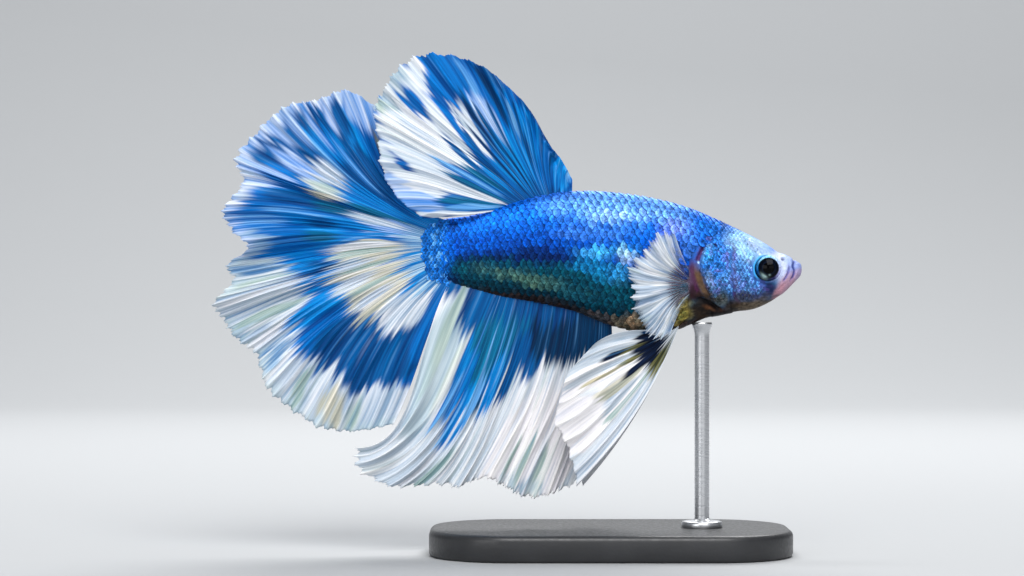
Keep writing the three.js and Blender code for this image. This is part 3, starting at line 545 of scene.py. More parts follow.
def line_distance(points, x, z, steps=70):
    """Distance of each place from a smooth line, the side that it is on, and the share along the line."""
    path = along(evenly(points), np.linspace(0, 1, steps))
    best = np.full(x.shape, np.inf)
    sign, share = np.zeros(x.shape), np.zeros(x.shape)
    for i in range(steps - 1):
        (ax, az), (bx, bz) = path[i], path[i + 1]
        run, climb = bx - ax, bz - az
        part = np.clip(((x - ax) * run + (z - az) * climb) / (run * run + climb * climb), 0, 1)
        away = np.hypot(x - ax - part * run, z - az - part * climb)
        nearer = away < best
        best = np.where(nearer, away, best)
        sign = np.where(nearer, np.sign(run * (z - az) - climb * (x - ax)), sign)
        share = np.where(nearer, (i + part) / (steps - 1), share)
    return best, sign, share


def ends_fade(share, start, end):
    """1 along the middle of a line, and 0 at its two ends."""
    return smooth(share, 0, start) * smooth(1 - share, 0, end)


def ahead_of_gill(x, z):
    """Distance ahead of the gill cover's rear edge, below 0 behind it, and the share along that edge."""
    away, sign, share = line_distance(GILL_EDGE, x, z)
    return np.where((sign < 0) & (x < GILL_EDGE[0][0]), -away, away), share


def distance_from(spot, x, z):
    """Distance of each place from the eye socket's or the nostril's middle."""
    return np.hypot(x - spot["x"], z - spot["z"])


def head_relief(x, z):
    """How far the head's skin stands off the plain body, in millimetres."""
    lift = np.zeros(x.shape)
    on = x > HEAD_STARTS
    x, z = x[on], z[on]
    ahead, share = ahead_of_gill(x, z)
    plate = 0.17 * smooth(ahead, -0.02, 0.1) * (1 - smooth(ahead, 0.5, 3.4))
    drop = -0.16 * smooth(-ahead, 0, 0.1) * (1 - smooth(-ahead, 0.15, 0.7))
    relief = (plate + drop + 0.03 * bell(ahead - 0.2, 0.12)) * ends_fade(share, 0.12, 0.1)
    for points, width, depth in FOLDS:
        away, _, share = line_distance(points, x, z)
        relief += depth * bell(away, width) * (0.25 + 0.75 * ends_fade(share, 0.12, 0.12))
    from_eye, edge = distance_from(ORBIT, x, z), ORBIT["radius"]
    behind = 0.3 + 0.7 * smooth((ORBIT["x"] - x) / (from_eye + 1e-6), -0.5, 0.4)
    relief += behind * (0.1 * bell(from_eye - edge - 0.06, 0.14) - 0.07 * bell(from_eye - edge - 0.34, 0.14))
    relief -= 0.9 * (1 - smooth(from_eye, edge - 0.3, edge - 0.02))
    from_nostril, edge = distance_from(NOSTRIL, x, z), NOSTRIL["radius"]
    relief += 0.07 * bell(from_nostril - 1.5 * edge, 0.1) - 0.24 * bell(from_nostril, edge)
    lift[on] = relief
    return lift


def coat_depth(x):
    """How deep the skin lies under the outline: under the scales, and hardly at all on the face."""
    return 0.03 + 0.1 * (1 - smooth(x, 11, 15)) * smooth(x, -22.6, -21)


# How far forward the large scales and the small ones come, as height and x.
NAPE_EDGE = [(25, 9.4), (29.5, 9.3), (31, 9.3), (35, 9.5), (36.5, 10.2), (37.8, 11.0), (38.5, 12.1),
             (39.4, 13.7), (40.6, 14.3), (47, 14.4)]
FACE_FRONT = [(28, 15), (31.4, 18.2), (33, 19.0), (36.3, 18.4), (37.2, 18.2), (38, 17.4), (39, 16.5),
              (40, 15.8), (44, 15.4)]


# ---------------------------------------------------------------- colours of the body

SKIN = dict(
    umber=(46, 38, 38), lagoon=(2, 72, 94), midnight=(0, 36, 94), marine=(0, 76, 182), cobalt=(8, 102, 216),
    cornflower=(96, 154, 238), ice=(186, 224, 252), cyan=(66, 176, 246), turquoise=(22, 142, 208),
    # the last colour in this row is dark blue painted as shade between scales, in creases and in the mouth line
    moss=(88, 124, 98), deep_teal=(4, 48, 66), violet=(126, 100, 196), gap_shade=(26, 46, 126),
    cheek=(78, 140, 214), cover=(38, 116, 208), brow=(146, 194, 234), ridge=(160, 188, 230),
    snout=(202, 212, 244), lip=(138, 154, 210), chin=(184, 146, 168), rose=(190, 134, 146),
    # the first colour in this row is partly painted shadow, under the eye and in the nostril
    night=(24, 30, 74), dusk=(62, 62, 90), slate=(62, 94, 136), smoke=(60, 54, 60), bark=(88, 76, 60),
    soil=(44, 32, 21), khaki=(70, 74, 66), silver=(120, 156, 204), wine=(84, 34, 74), plum=(84, 58, 82),
    olive=(146, 130, 62), straw=(204, 196, 142), shell=(168, 152, 124), ash=(84, 84, 88), tan=(92, 70, 46),
    # the first colour in this row is near black painted as shade in the throat slit and under the head
    deep_shade=(10, 7, 10), root_blue=(22, 110, 202), root_pale=(100, 176, 244), root_dark=(14, 62, 132),
    # the second colour in this row is violet blue painted as shade in the jaw fold
    maroon=(40, 16, 24), crease=(92, 92, 158), ochre=(98, 62, 38), rimmed=(96, 158, 224),
    frost_white=(226, 232, 250),
)
# Colours up the flank, from the belly line at 0 to the back at 1.
FLANK = [
    (0, "umber"), (0.02, "umber"), (0.08, "deep_teal"), (0.2, "lagoon"), (0.32, "lagoon"),
    (0.42, "midnight"), (0.52, "marine"), (0.63, "marine"), (0.78, "cobalt"), (1.0, "cobalt"),
]
# Soft patches over that: colour, x, z, half length, half height, tilt in degrees, strength.
PATCHES = [
    ("midnight", -12, 36.3, 7, 1.3, 0, 0.75), ("marine", -15, 38.2, 6, 1.6, 3, 0.6),
    # the cornflower band along the back at x 1 is partly the back's pale blue and partly painted sheen
    ("cobalt", -13, 40.4, 7, 1.6, 4, 0.5), ("cornflower", 1, 42.3, 10, 2.3, -2, 0.85),
    ("cornflower", 8.3, 39.9, 2.8, 1.7, -25, 0.6), ("lagoon", -11, 34.6, 9, 1.1, -8, 0.8),
    ("moss", -9.5, 33.4, 4.5, 1.0, -14, 0.5), ("moss", -14.6, 34.5, 2.8, 0.8, -8, 0.25),
    ("moss", -4, 32.0, 3.0, 0.9, -14, 0.25), ("deep_teal", -13, 32.6, 6, 0.7, -9, 0.7),
    ("umber", -8, 30.5, 11, 0.3, -10, 0.85), ("cobalt", -20.6, 36.6, 1.6, 3.6, 0, 0.8),
    ("midnight", -19.8, 33.6, 1.6, 1.1, 0, 0.7), ("midnight", -19.6, 39.8, 1.3, 1.0, 0, 0.5),
    # the faint ice at x 0.5 is partly the back's pale blue and partly painted sheen
    ("ice", 0.5, 41.0, 4, 1.1, -4, 0.12), ("cobalt", 0, 38.8, 6, 1.0, 0, 0.7),
    ("cornflower", -2, 39.1, 5.5, 1.1, 0, 0.22), ("cyan", -0.5, 36.9, 4.2, 0.8, 0, 0.8),
    ("ice", 1.8, 36.3, 1.3, 0.9, 0, 0.5), ("turquoise", -2, 34.7, 3.8, 1.1, -8, 0.65),
    ("cyan", 1, 34.2, 1.6, 1.6, 0, 0.4), ("lagoon", -3, 31.8, 5, 1.3, -12, 0.8),
    ("ash", -1.2, 28.9, 3.4, 0.7, -14, 0.8), ("violet", 7.5, 39.6, 2.4, 1.4, -10, 0.3),
    ("cornflower", 9.4, 37.4, 1.1, 1.3, 0, 0.4), ("cobalt", 10.5, 38.8, 2.6, 2.2, -20, 0.5),
    ("cheek", 15.2, 34.6, 5.4, 4.4, 0, 1.0), ("cover", 12.4, 35.9, 2.0, 2.6, 0, 0.9),
    ("cover", 13.0, 39.2, 2.6, 1.4, -22, 0.6), ("brow", 16.1, 37.9, 2.7, 1.6, -26, 0.9),
    ("brow", 16.8, 36.6, 1.8, 1.5, -20, 0.85), ("ridge", 18.0, 37.3, 2.6, 0.9, -32, 0.95),
    ("snout", 20.5, 35.2, 1.7, 2.1, 0, 0.95), ("frost_white", 20.3, 36.3, 0.8, 0.5, -25, 0.3),
    ("ridge", 21.5, 35.9, 0.8, 0.7, -30, 0.5), ("lip", 22.5, 35.0, 1.3, 2.0, 0, 1.0),
    ("chin", 21.2, 32.8, 1.8, 1.1, 48, 0.95), ("rose", 20.3, 32.0, 1.3, 0.5, 45, 0.6),
    ("chin", 22.9, 34.0, 0.9, 0.8, 0, 0.5), ("slate", 16.6, 32.0, 1.7, 0.75, 0, 0.6),
    ("slate", 13.4, 32.4, 0.8, 0.8, 0, 0.55), ("plum", 15.1, 33.0, 0.4, 1.2, -5, 0.35),
    ("night", 19.2, 32.2, 0.75, 1.0, -35, 0.95), ("dusk", 18.2, 31.4, 1.5, 0.7, 12, 0.8),
    ("bark", 16.9, 30.2, 3.2, 0.85, 9, 0.95), ("smoke", 15.9, 31.3, 1.6, 0.75, 6, 0.85),
    ("soil", 14.8, 30.3, 1.3, 0.8, 0, 0.9), ("khaki", 13.3, 31.1, 1.2, 1.0, 0, 0.9),
    ("slate", 12.6, 32.1, 0.7, 0.8, 20, 0.5), ("silver", 12.0, 33.3, 0.55, 1.3, 18, 0.8),
    ("cyan", 11.8, 36.6, 0.7, 1.2, -12, 0.5), ("plum", 9.8, 33.5, 1.1, 2.3, 0, 0.95),
    ("soil", 9.0, 31.2, 1.3, 0.9, 0, 0.9), ("olive", 8.1, 29.4, 2.0, 1.5, 10, 0.95),
    ("soil", 11.2, 29.6, 1.9, 1.5, 0, 0.95), ("maroon", 10.1, 31.7, 0.8, 1.3, 0, 0.9),
    # the first patch in this row is near black painted as shade under the throat
    ("deep_shade", 13.6, 29.2, 2.2, 0.5, 5, 0.85), ("violet", 14.6, 33.3, 0.35, 1.1, -8, 0.35),
    ("straw", 6.2, 28.6, 1.5, 0.9, 0, 0.7), ("shell", 2.4, 28.2, 2.4, 0.8, -6, 0.9),
    # near black painted as shade at the throat
    ("deep_shade", 11.3, 30.1, 1.1, 0.8, 0, 0.55),
]
# Lines drawn on the head: colour, line, half width, strength.
LINES = [
    ("wine", GILL_OPENING, 0.4, 0.85), ("tan", GILL_STRIP, 0.62, 0.95), ("wine", SHOULDER_LINE, 0.3, 0.5),
    # the near black in the throat slit and under the head is painted shade
    ("ochre", THROAT_FOLD, 0.3, 0.8), ("deep_shade", THROAT_SLIT, 0.42, 0.95), ("deep_shade", UNDER_SLIT, 0.45, 1.0),
    # the near black at the cheek's end and the blue in the gill crease are painted shade
    ("wine", CHEEK_LINE, 0.24, 0.42), ("deep_shade", CHEEK_END, 0.2, 0.55), ("gap_shade", GILL_CREASE, 0.16, 0.4),
    # the blue in the jaw fold and the mouth line and the brown along the slit's upper edge are painted shade
    ("crease", JAW_FOLD, 0.16, 0.8), ("gap_shade", MOUTH_LINE, 0.15, 0.85), ("soil", SLIT_BROW, 0.34, 0.85),
    # the white spot at the gill opening is a painted highlight
    ("rimmed", GILL_RIM, 0.2, 0.8), ("night", GILL_CROWN, 0.16, 0.9), ("ice", GILL_GLINT, 0.16, 0.75),
]
SPECKLE = 0.3           # millimetres across one speckle of the cheek
FOREHEAD_FALL = 0.62    # how much the forehead's line falls for each millimetre ahead


def skin_tone(name):
    """A skin colour in linear numbers."""
    return linear(SKIN[name])


def climb_at(x, z):
    """How far up the flank a height is, measured along the skin from mid height."""
    back, belly, _ = section(x)
    half = (back - belly) / 2
    return half * np.arcsin(np.clip((z - belly) / half - 1, -1, 1))


def body_colour(x, z):
    """Linear colours of the body at x and z, the same on both sides."""
    back, belly, _ = section(x)
    height = np.clip((z - belly) / (back - belly), 0, 1)
    colour = between_stops(height, [(place, skin_tone(name)) for place, name in FLANK])
    up = climb_at(x, z)
    warp_x = x + 0.5 * (noise(x * 1.3, up * 1.3, 71) - 0.5)
    warp_z = z + 0.5 * (noise(x * 1.3, up * 1.3, 72) - 0.5)
    for name, at_x, at_z, half_x, half_z, tilt, strength in PATCHES:
        cos, sin = math.cos(math.radians(tilt)), math.sin(math.radians(tilt))
        run = (warp_x - at_x) * cos + (warp_z - at_z) * sin
        climb = (warp_z - at_z) * cos - (warp_x - at_x) * sin
        inside = strength * (1 - smooth(np.hypot(run / half_x, climb / half_z), 0.45, 1.25))
        colour = towards(colour, skin_tone(name), inside)
    return colour


def speckled(colour, x, z):
    """Adds the cheek's and the breast's speckles and the cheek's violet veins."""
    up = climb_at(x, z)
    on_face = smooth(x - value_along(NAPE_EDGE, z), -0.5, 0.3)
    spots = noise(x / SPECKLE, up / SPECKLE, 81) - 0.75
    spots = spots + 0.5 * noise(x / SPECKLE * 2.1, up / SPECKLE * 2.1, 82)
    cheek = smooth(x, 10.8, 12) * (1 - smooth(x, 18.2, 20)) * (0.45 + 0.55 * smooth(z, 31, 32.5))
    cheek = cheek * (1 - 0.9 * smooth(z + FOREHEAD_FALL * x, 45.4, 47.2))
    breast = smooth(x, 6, 7) * (1 - smooth(z, 30.6, 31.6)) * (1 - 0.5 * smooth(x, 10, 11))
    strength = cheek + 1.1 * breast
    colour = colour * (1 + (0.25 + strength) * on_face * np.clip(spots, -0.55, 0.7))[..., None]
    veins = 0.3 * smooth(noise(x / 0.5, up / 0.5, 83), 0.62, 0.8) * strength
    return towards(colour, skin_tone("violet"), veins * smooth(x, 10.8, 11.6) * smooth(z, 31.2, 32.2))


def head_colour(x, z, shaded_between_scales=False):
    """The body's colours with the lines and speckles of the face, and painted shade under and between scales,
    in the eye socket, under the eye and in the nostril.
    """
    on_face = smooth(x - value_along(NAPE_EDGE, z), -0.5, 0.3)
    # painted shade: the skin under the large scales at less than half the body's colour
    colour = speckled(body_colour(x, z) * (0.45 + 0.55 * on_face)[..., None], x, z)
    if shaded_between_scales:
        # painted shade in the gaps between the small scales of the face
        gap_shade = smooth(x, 10.8, 11.6) * smooth(value_along(FACE_FRONT, z) - x, -0.2, 0.5) * smooth(z, 31, 31.6)
        gap_shade = gap_shade * (1 - 0.75 * smooth(z + FOREHEAD_FALL * x, 45.6, 47.6))
        colour = towards(colour, skin_tone("gap_shade"), 0.6 * gap_shade)
    on = x > HEAD_STARTS
    shade = 0.7 + 0.6 * noise(x[on] / 0.22, z[on] / 0.22, 85)[..., None]
    grain = 0.75 + 0.5 * noise(x[on] / 0.28, z[on] / 0.28, 84)
    for name, points, half_width, strength in LINES:
        away, _, share = line_distance(points, x[on], z[on])
        inside = 1 - smooth(away * grain, 0.3 * half_width, 1.25 * half_width)
        inside = strength * inside * (0.3 + 0.7 * ends_fade(share, 0.15, 0.15))
        colour[on] = towards(colour[on], skin_tone(name) * shade, inside)
    from_eye = distance_from(ORBIT, x, z)
    ring = bell(from_eye - ORBIT["radius"], 0.17)
    rear = smooth((ORBIT["x"] - x + 0.3 * (z - ORBIT["z"])) / (from_eye + 1e-6), 0.25, 0.85)
    colour = towards(colour, skin_tone("cyan"), ring * rear)
    # painted shadow under the eye, along the lower edge of its socket
    below = smooth((ORBIT["z"] - z) / (from_eye + 1e-6), 0.5, 0.9)
    colour = towards(colour, skin_tone("night"), 0.6 * below * ring)
    # painted shade in the eye socket, inside its rim
    socket = 1 - smooth(from_eye, ORBIT["radius"] - 0.22, ORBIT["radius"] - 0.05)
    colour = colour * (1 - 0.95 * socket[..., None])
    # painted shade in the nostril's pit
    hole = bell(distance_from(NOSTRIL, x, z), 1.1 * NOSTRIL["radius"])
    return np.clip(towards(colour, skin_tone("night"), 0.8 * hole), 0.001, 1)


# ---------------------------------------------------------------- meshes


def mesh_piece(name, points, faces, uvs, values=(), flat=()):
    """A mesh object from points in millimetres, arrays of faces and their corners' places on OFBake.

    values are pairs of an attribute's name and its rows. The arrays of faces whose numbers are in flat keep
    their hard edges.
    """
    corners = np.concatenate([part.ravel() for part in faces])
    sizes = np.concatenate([np.full(len(part), part.shape[1]) for part in faces])
    mesh = bpy.data.meshes.new(name)
    mesh.vertices.add(len(points))
    mesh.vertices.foreach_set("co", np.ascontiguousarray(points * MM, np.float32).ravel())
    mesh.loops.add(len(corners))
    mesh.loops.foreach_set("vertex_index", corners.astype(np.int32))
    mesh.polygons.add(len(sizes))
    mesh.polygons.foreach_set("loop_start", (np.cumsum(sizes) - sizes).astype(np.int32))
    rounded = [np.full(len(part), number not in flat) for number, part in enumerate(faces)]
    mesh.polygons.foreach_set("use_smooth", np.concatenate(rounded))
    layer = mesh.uv_layers.new(name="OFBake")
    places = np.concatenate([part.reshape(-1, 2) for part in uvs])
    layer.uv.foreach_set("vector", np.ascontiguousarray(places, np.float32).ravel())
    for key, rows in values:
        kind, width, field = ("FLOAT_COLOR", 4, "color") if key == "tint" else ("FLOAT_VECTOR", 3, "vector")
        full = np.ones((len(points), width), np.float32)
        full[:, :3] = rows
        mesh.attributes.new(key, kind, "POINT").data.foreach_set(field, full.ravel())
    mesh.update(calc_edges=True)
    piece = bpy.data.objects.new(name, mesh)
    bpy.context.scene.collection.objects.link(piece)
    return piece


def finish_piece(piece, material, slot, *nodes):
    """Gives a piece its material, hangs it from the root and hides the nodes of the frame that it stands for.
    Its slot is not used.
    """
    piece.data.materials.append(material)
    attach(piece, "root")
    if nodes:
        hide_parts(*nodes)


def grid_quads(rows, columns, stride, wrap=0):
    """Quads of a grid of rows + 1 by columns + 1 points, or one that closes after wrap columns."""
    row, column = np.meshgrid(np.arange(rows), np.arange(columns), indexing="ij")
    after = (column + 1) % wrap if wrap else column + 1
    a, b = row * stride + column, row * stride + after
    return joined(a, b, b + stride, a + stride).reshape(-1, 4)


def grid_border(rows, columns, stride):
    """The points round the border of a grid, in order."""
    bottom = np.arange(columns)
    right = np.arange(rows) * stride + columns
    top = rows * stride + np.arange(columns, 0, -1)
    left = np.arange(rows, 0, -1) * stride
    return np.concatenate([bottom, right, top, left])


def grid_uvs(rows, columns, low, high):
    """Corner places for grid_quads, spread over a rectangle of the map."""
    row, column = np.meshgrid(np.arange(rows), np.arange(columns), indexing="ij")
    up = joined(row, row, row + 1, row + 1).reshape(-1, 4) / rows
    across = joined(column, column + 1, column + 1, column).reshape(-1, 4) / columns
    return np.asarray(low) + joined(across, up) * (np.asarray(high) - np.asarray(low))


def closed_rings(rings, ends):
    """Points and faces of a shape from its rings, closed by a point at either end."""
    count, spokes = rings.shape[:2]
    ring = np.arange(spokes)
    after = np.roll(ring, -1)
    last, tip = (count - 1) * spokes, count * spokes
    faces = [grid_quads(count - 1, spokes, spokes, wrap=spokes),
             joined(after, ring, tip), joined(last + ring, last + after, tip + 1)]
    return np.concatenate([rings.reshape(-1, 3), ends]), faces


def ring_uvs(count, spokes, low, high):
    """Corner places for closed_rings: a rectangle of the map, with its two caps in strips beyond it."""
    here = low[0] + (high[0] - low[0]) * np.arange(spokes) / spokes
    after = here + (high[0] - low[0]) / spokes
    uvs = [grid_uvs(count - 1, spokes, low, high)]
    caps = ((after, here, low[1], low[1] / 2), (here, after, high[1], (1 + high[1]) / 2))
    for first, second, edge, tip in caps:
        middle = (first + second) / 2
        uvs.append(np.stack([joined(first, edge), joined(second, edge), joined(middle, tip)], 1))
    return uvs


def turned_over(parts, really=True):
    """Arrays of faces, or of their corners' places, with the other side outwards."""
    return [part[:, ::-1] for part in parts] if really else parts


# ---------------------------------------------------------------- materials


def new_material(name, roughness, metallic=0.0, coat=0.0, specular=0.5):
    """A Principled material, its node tree and its shader."""
    material = bpy.data.materials.new(name)
    material.use_nodes = True
    shader = material.node_tree.nodes["Principled BSDF"]
    looks = {"Roughness": roughness, "Metallic": metallic, "Coat Weight": coat, "Coat Roughness": 0.12,
             "Specular IOR Level": specular}
    for key, value in looks.items():
        shader.inputs[key].default_value = value
    return material, material.node_tree, shader


def add_node(tree, kind, output, inputs, **settings):
    """Adds a node, links or sets its inputs, and returns one of its outputs."""
    node = tree.nodes.new(kind)
    for key, value in settings.items():
        setattr(node, key, value)
    for key, value in inputs.items():
        if isinstance(value, bpy.types.NodeSocket):
            tree.links.new(value, node.inputs[key])
        else:
            node.inputs[key].default_value = value
    return node.outputs[output]


def attribute(tree, name, output="Vector"):
    """What the mesh carries at its points under a name."""
    return add_node(tree, "ShaderNodeAttribute", output, {}, attribute_name=name)


def object_place(tree):
    """The place in the object's own space, in metres."""
    return add_node(tree, "ShaderNodeTexCoord", "Object", {})


def stretched(tree, vector, scale):
    """A vector multiplied by three numbers."""
    return add_node(tree, "ShaderNodeMapping", "Vector", {"Vector": vector, "Scale": scale})


def axis_of(tree, vector, axis):
    """One number of a vector."""
    return add_node(tree, "ShaderNodeSeparateXYZ", axis, {"Vector": vector})


def noise_node(tree, vector, scale, detail=2.0, roughness=0.55):
    """Noise from 0 to 1 with so many cells to a unit."""
    inputs = {"Vector": vector, "Scale": scale, "Detail": detail, "Roughness": roughness}
    return add_node(tree, "ShaderNodeTexNoise", "Fac", inputs)


def ranged(tree, value, low, high, from_low=0.3, from_high=0.7):
    """A value moved from one range, noise's usual one, to another."""
    inputs = {"Value": value, "From Min": from_low, "From Max": from_high, "To Min": low, "To Max": high}
    return add_node(tree, "ShaderNodeMapRange", "Result", inputs)


def ramped(tree, value, stops):
    """A colour that follows stops of place and linear colour."""
    node = tree.nodes.new("ShaderNodeValToRGB")
    elements = node.color_ramp.elements
    elements[0].position, elements[1].position = stops[0][0], stops[-1][0]
    for position, _ in stops[1:-1]:
        elements.new(position)
    for element, (_, colour) in zip(elements, stops):
        element.color = (*colour, 1)
    tree.links.new(value, node.inputs["Fac"])
    return node.outputs["Color"]


def scaled(tree, colour, factor):
    """A colour multiplied by a value."""
    return add_node(tree, "ShaderNodeVectorMath", "Vector", {0: colour, "Scale": factor}, operation="SCALE")


def bumped(tree, shader, height, distance, strength=1.0):
    """Gives a shader bumps of a height in metres."""
    inputs = {"Height": height, "Distance": distance, "Strength": strength}
    tree.links.new(add_node(tree, "ShaderNodeBump", "Normal", inputs), shader.inputs["Normal"])


def dressed(tree, shader, colour, gloss):
    """Links a shader's colour and roughness."""
    tree.links.new(colour, shader.inputs["Base Color"])
    tree.links.new(gloss, shader.inputs["Roughness"])


def fin_material(name, streaks, veiled=False):
    """The fins' tint in fine streaks along the rays. A veiled fin lets light through as its veil says."""
    material, tree, shader = new_material(name, roughness=0.5, specular=0.1)
    lie = attribute(tree, "lie")
    fine = noise_node(tree, stretched(tree, lie, (streaks, 3, 1)), 1.0, 3)
    broad = noise_node(tree, stretched(tree, lie, (streaks / 4, 5, 1)), 1.0)
    tint = scaled(tree, attribute(tree, "tint", "Color"), ranged(tree, fine, 0.82, 1.12))
    dressed(tree, shader, tint, ranged(tree, broad, 0.42, 0.62))
    bumped(tree, shader, fine, 0.00004)
    if veiled:
        tree.links.new(axis_of(tree, attribute(tree, "veil"), "X"), shader.inputs["Alpha"])
    return material


# How light a scale is from its middle at 0 to its free edge at 1: painted sheen inside the free edge, and a
# dark edge, partly its own dark rim and partly painted shadow.
SCALE_SHEEN_AND_SHADE = [(0.0, 0.5), (0.35, 0.68), (0.62, 1.04), (0.82, 1.1), (0.9, 0.9), (0.955, 0.5), (1.0, 0.32)]


def scale_material():
    """Each scale: its own tint with small flecks, a painted sheen inside its free edge, and a dark free edge,
    partly its own dark rim and partly painted shadow.
    """
    material, tree, shader = new_material("betta_scales", roughness=0.45, metallic=0.4, specular=0.1)
    place, lie = object_place(tree), attribute(tree, "lie")
    grain = noise_node(tree, place, 4200, 3, 0.7)
    cloud = noise_node(tree, place, 900)
    sheen_and_shade = ramped(tree, axis_of(tree, lie, "X"), [(at, (grey,) * 3) for at, grey in SCALE_SHEEN_AND_SHADE])
    # the third number of lie says how strong the flecks are
    strength = {0: ranged(tree, grain, -0.6, 0.8, 0.33, 0.67), 1: axis_of(tree, lie, "Z"), 2: 1.0}
    flecks = add_node(tree, "ShaderNodeMath", "Value", strength, operation="MULTIPLY_ADD")
    tint = scaled(tree, scaled(tree, attribute(tree, "tint", "Color"), flecks), sheen_and_shade)
    dressed(tree, shader, tint, ranged(tree, cloud, 0.36, 0.54))
    bumped(tree, shader, grain, 0.000012)
    return material


def skin_material():
    """The skin's tint with fine grain."""
    material, tree, shader = new_material("betta_skin", roughness=0.5, metallic=0.1, specular=0.14)
    grain = noise_node(tree, object_place(tree), 6400, 3)
    cloud = noise_node(tree, object_place(tree), 1500)
    tint = scaled(tree, attribute(tree, "tint", "Color"), ranged(tree, grain, 0.86, 1.14))
    dressed(tree, shader, tint, ranged(tree, cloud, 0.4, 0.62))
    bumped(tree, shader, grain, 0.000012)
    return material


def eye_material():
    """A wet eye with a fine grain in its tint."""
    material, tree, shader = new_material("betta_eye", roughness=0.1, coat=0.02, specular=0.06)
    grain = noise_node(tree, object_place(tree), 9000)
    tint = scaled(tree, attribute(tree, "tint", "Color"), ranged(tree, grain, 0.8, 1.2))
    dressed(tree, shader, tint, ranged(tree, grain, 0.04, 0.1))
    return material


def base_material():
    """Black acrylic with light wear."""
    material, tree, shader = new_material("stand_black", roughness=0.4, coat=0.1)
    grain = noise_node(tree, object_place(tree), 2600, 3)
    wear = noise_node(tree, object_place(tree), 260, 3)
    shades = ramped(tree, wear, [(0, (0.012, 0.0125, 0.014)), (1, (0.03, 0.031, 0.034))])
    dressed(tree, shader, shades, ranged(tree, grain, 0.34, 0.5))
    bumped(tree, shader, grain, 0.00002)
    return material


def rod_material():
    """Turned steel with fine lines round it."""
    material, tree, shader = new_material("stand_steel", roughness=0.28, metallic=1.0)
    lines = noise_node(tree, stretched(tree, object_place(tree), (60, 60, 6000)), 1.0)
    shades = ramped(tree, lines, [(0, (0.5, 0.51, 0.53)), (1, (0.66, 0.67, 0.69))])
    dressed(tree, shader, shades, ranged(tree, lines, 0.22, 0.4))
    bumped(tree, shader, lines, 0.000012)
    return material


# ---------------------------------------------------------------- fins as pieces


def fin_offset(fin, ray, place, t):
    """How far to the side the middle of a fin's sheet stands, pleats and all."""
    offset = np.sin(2 * np.pi * fin["folds"] * place) * fin["fold_depth"] * smooth(t, 0, FOLDS_FULL_AT)
    if "calm_front" in fin:
        offset = offset * smooth(place, 0, fin["calm_front"])
    if "hang" in fin:
        root, tip = fin["hang"]
        offset = offset + root + (tip - root) * np.sin(np.pi / 2 * t)
    if "edge_lean" in fin:
        by, edge, width = fin["edge_lean"]
        offset = offset + by * (1 - smooth(np.abs(place - edge), 0, width)) * smooth(t, 0, LEAN_FULL_AT)
    if "ruffle" in fin:
        by, middle, half_width, waves = fin["ruffle"]
        near = 1 - smooth(np.abs(place - middle), half_width / 2, half_width)
        offset = offset + by * near * t * t * np.sin(2 * np.pi * waves * place)
    return offset - fin["pleat_depth"] * crest(fin, ray, t, fin["pleats"]) * smooth(t, 0.02, 0.7)


def fin_margin(fin, ray):
    """Where each ray ends: small points on the pleats, finer ones on the rays, and some wear."""
    pleats, ridges, seed = fin["pleats"], fin["ridges"], fin["seed"]
    wear = noise(ray * pleats * 0.7, 0.5, seed + 8)
    lobes = 0.5 + 0.5 * crest(fin, ray, 1.0, pleats)
    points = np.sqrt(np.clip(lobes, 0, 1)) * (0.35 + 1.3 * wear) + 0.3 * crest(fin, ray, 1.0, ridges)
    uneven = noise(ray * ridges * 1.7, 0.5, seed + 9) + 1.2 * noise(ray * 17, 0.5, seed + 10)
    return 1 + fin["fringe"] * (points + 0.9 * uneven - 1.4)


def fin_thickness(fin, ray, t, end):
    """Half the thickness of a fin with its ridges, which are half as many near the root."""
    branching = smooth(t, 0.3, 0.6)
    ridge = (crest(fin, ray, t, fin["ridges"]) * branching
             + crest(fin, ray, t, fin["ridges"] / 2) * (1 - branching))
    half = (WEB_THICKNESS + fin["stout"] * (1 - np.clip(t, 0, 1)) ** 2) / 2
    half = half + fin["ridge_depth"] * (0.5 + 0.5 * ridge) * smooth(t, -0.05, 0.15)
    return half * (1 - 0.6 * smooth(t / end, 0.9, 1))


def fin_veil(ray, t, end):
    """How solid a clear fin is: most on its rays and far out, and less near its edges."""
    light = painted_ridge_light(PECTORAL, ray, t)
    solid = 0.32 + 0.44 * smooth(t, 0.1, 0.5) + 0.34 * (light - 0.5)
    solid = solid - 0.3 * (1 - smooth(ray, 0.04, 0.16)) * (1 - smooth(t, 0.5, 0.85))
    solid = solid - 0.28 * smooth(ray, 0.78, 0.95) * (1 - smooth(t, 0.6, 0.95))
    solid = solid * (1 - 0.8 * smooth(t / end, 0.86, 1.0) * (1 - smooth(light, 0.35, 0.75)))
    on_dark_ray = np.cos(2 * np.pi * (ray - DARK_RAYS["first"]) / DARK_RAYS["apart"])
    reach = DARK_RAYS["reach"]
    return np.clip(solid + 0.3 * on_dark_ray * (1 - smooth(t, 0.6 * reach, 1.1 * reach)), 0.06, 0.9)


def rim(rows, columns, count):
    """The quads that close two sheets of count points round their border, and their places on the map."""
    start = grid_border(rows, columns, columns + 1)
    end = np.roll(start, -1)
    share = np.arange(len(start)) / len(start)
    after = share + 1 / len(start)
    low, high = 0.985, 0.995
    uvs = [joined(after, low), joined(share, low), joined(share, high), joined(after, high)]
    return joined(end, start, start + count, end + count), np.stack(uvs, 1)


def turned(points, centre, degrees):
    """Points turned about the sideways axis through a centre given as x and z."""
    cos, sin = math.cos(math.radians(degrees)), math.sin(math.radians(degrees))
    run, climb = points[:, 0] - centre[0], points[:, 2] - centre[1]
    return joined(centre[0] + run * cos - climb * sin, points[:, 1], centre[1] + run * sin + climb * cos)


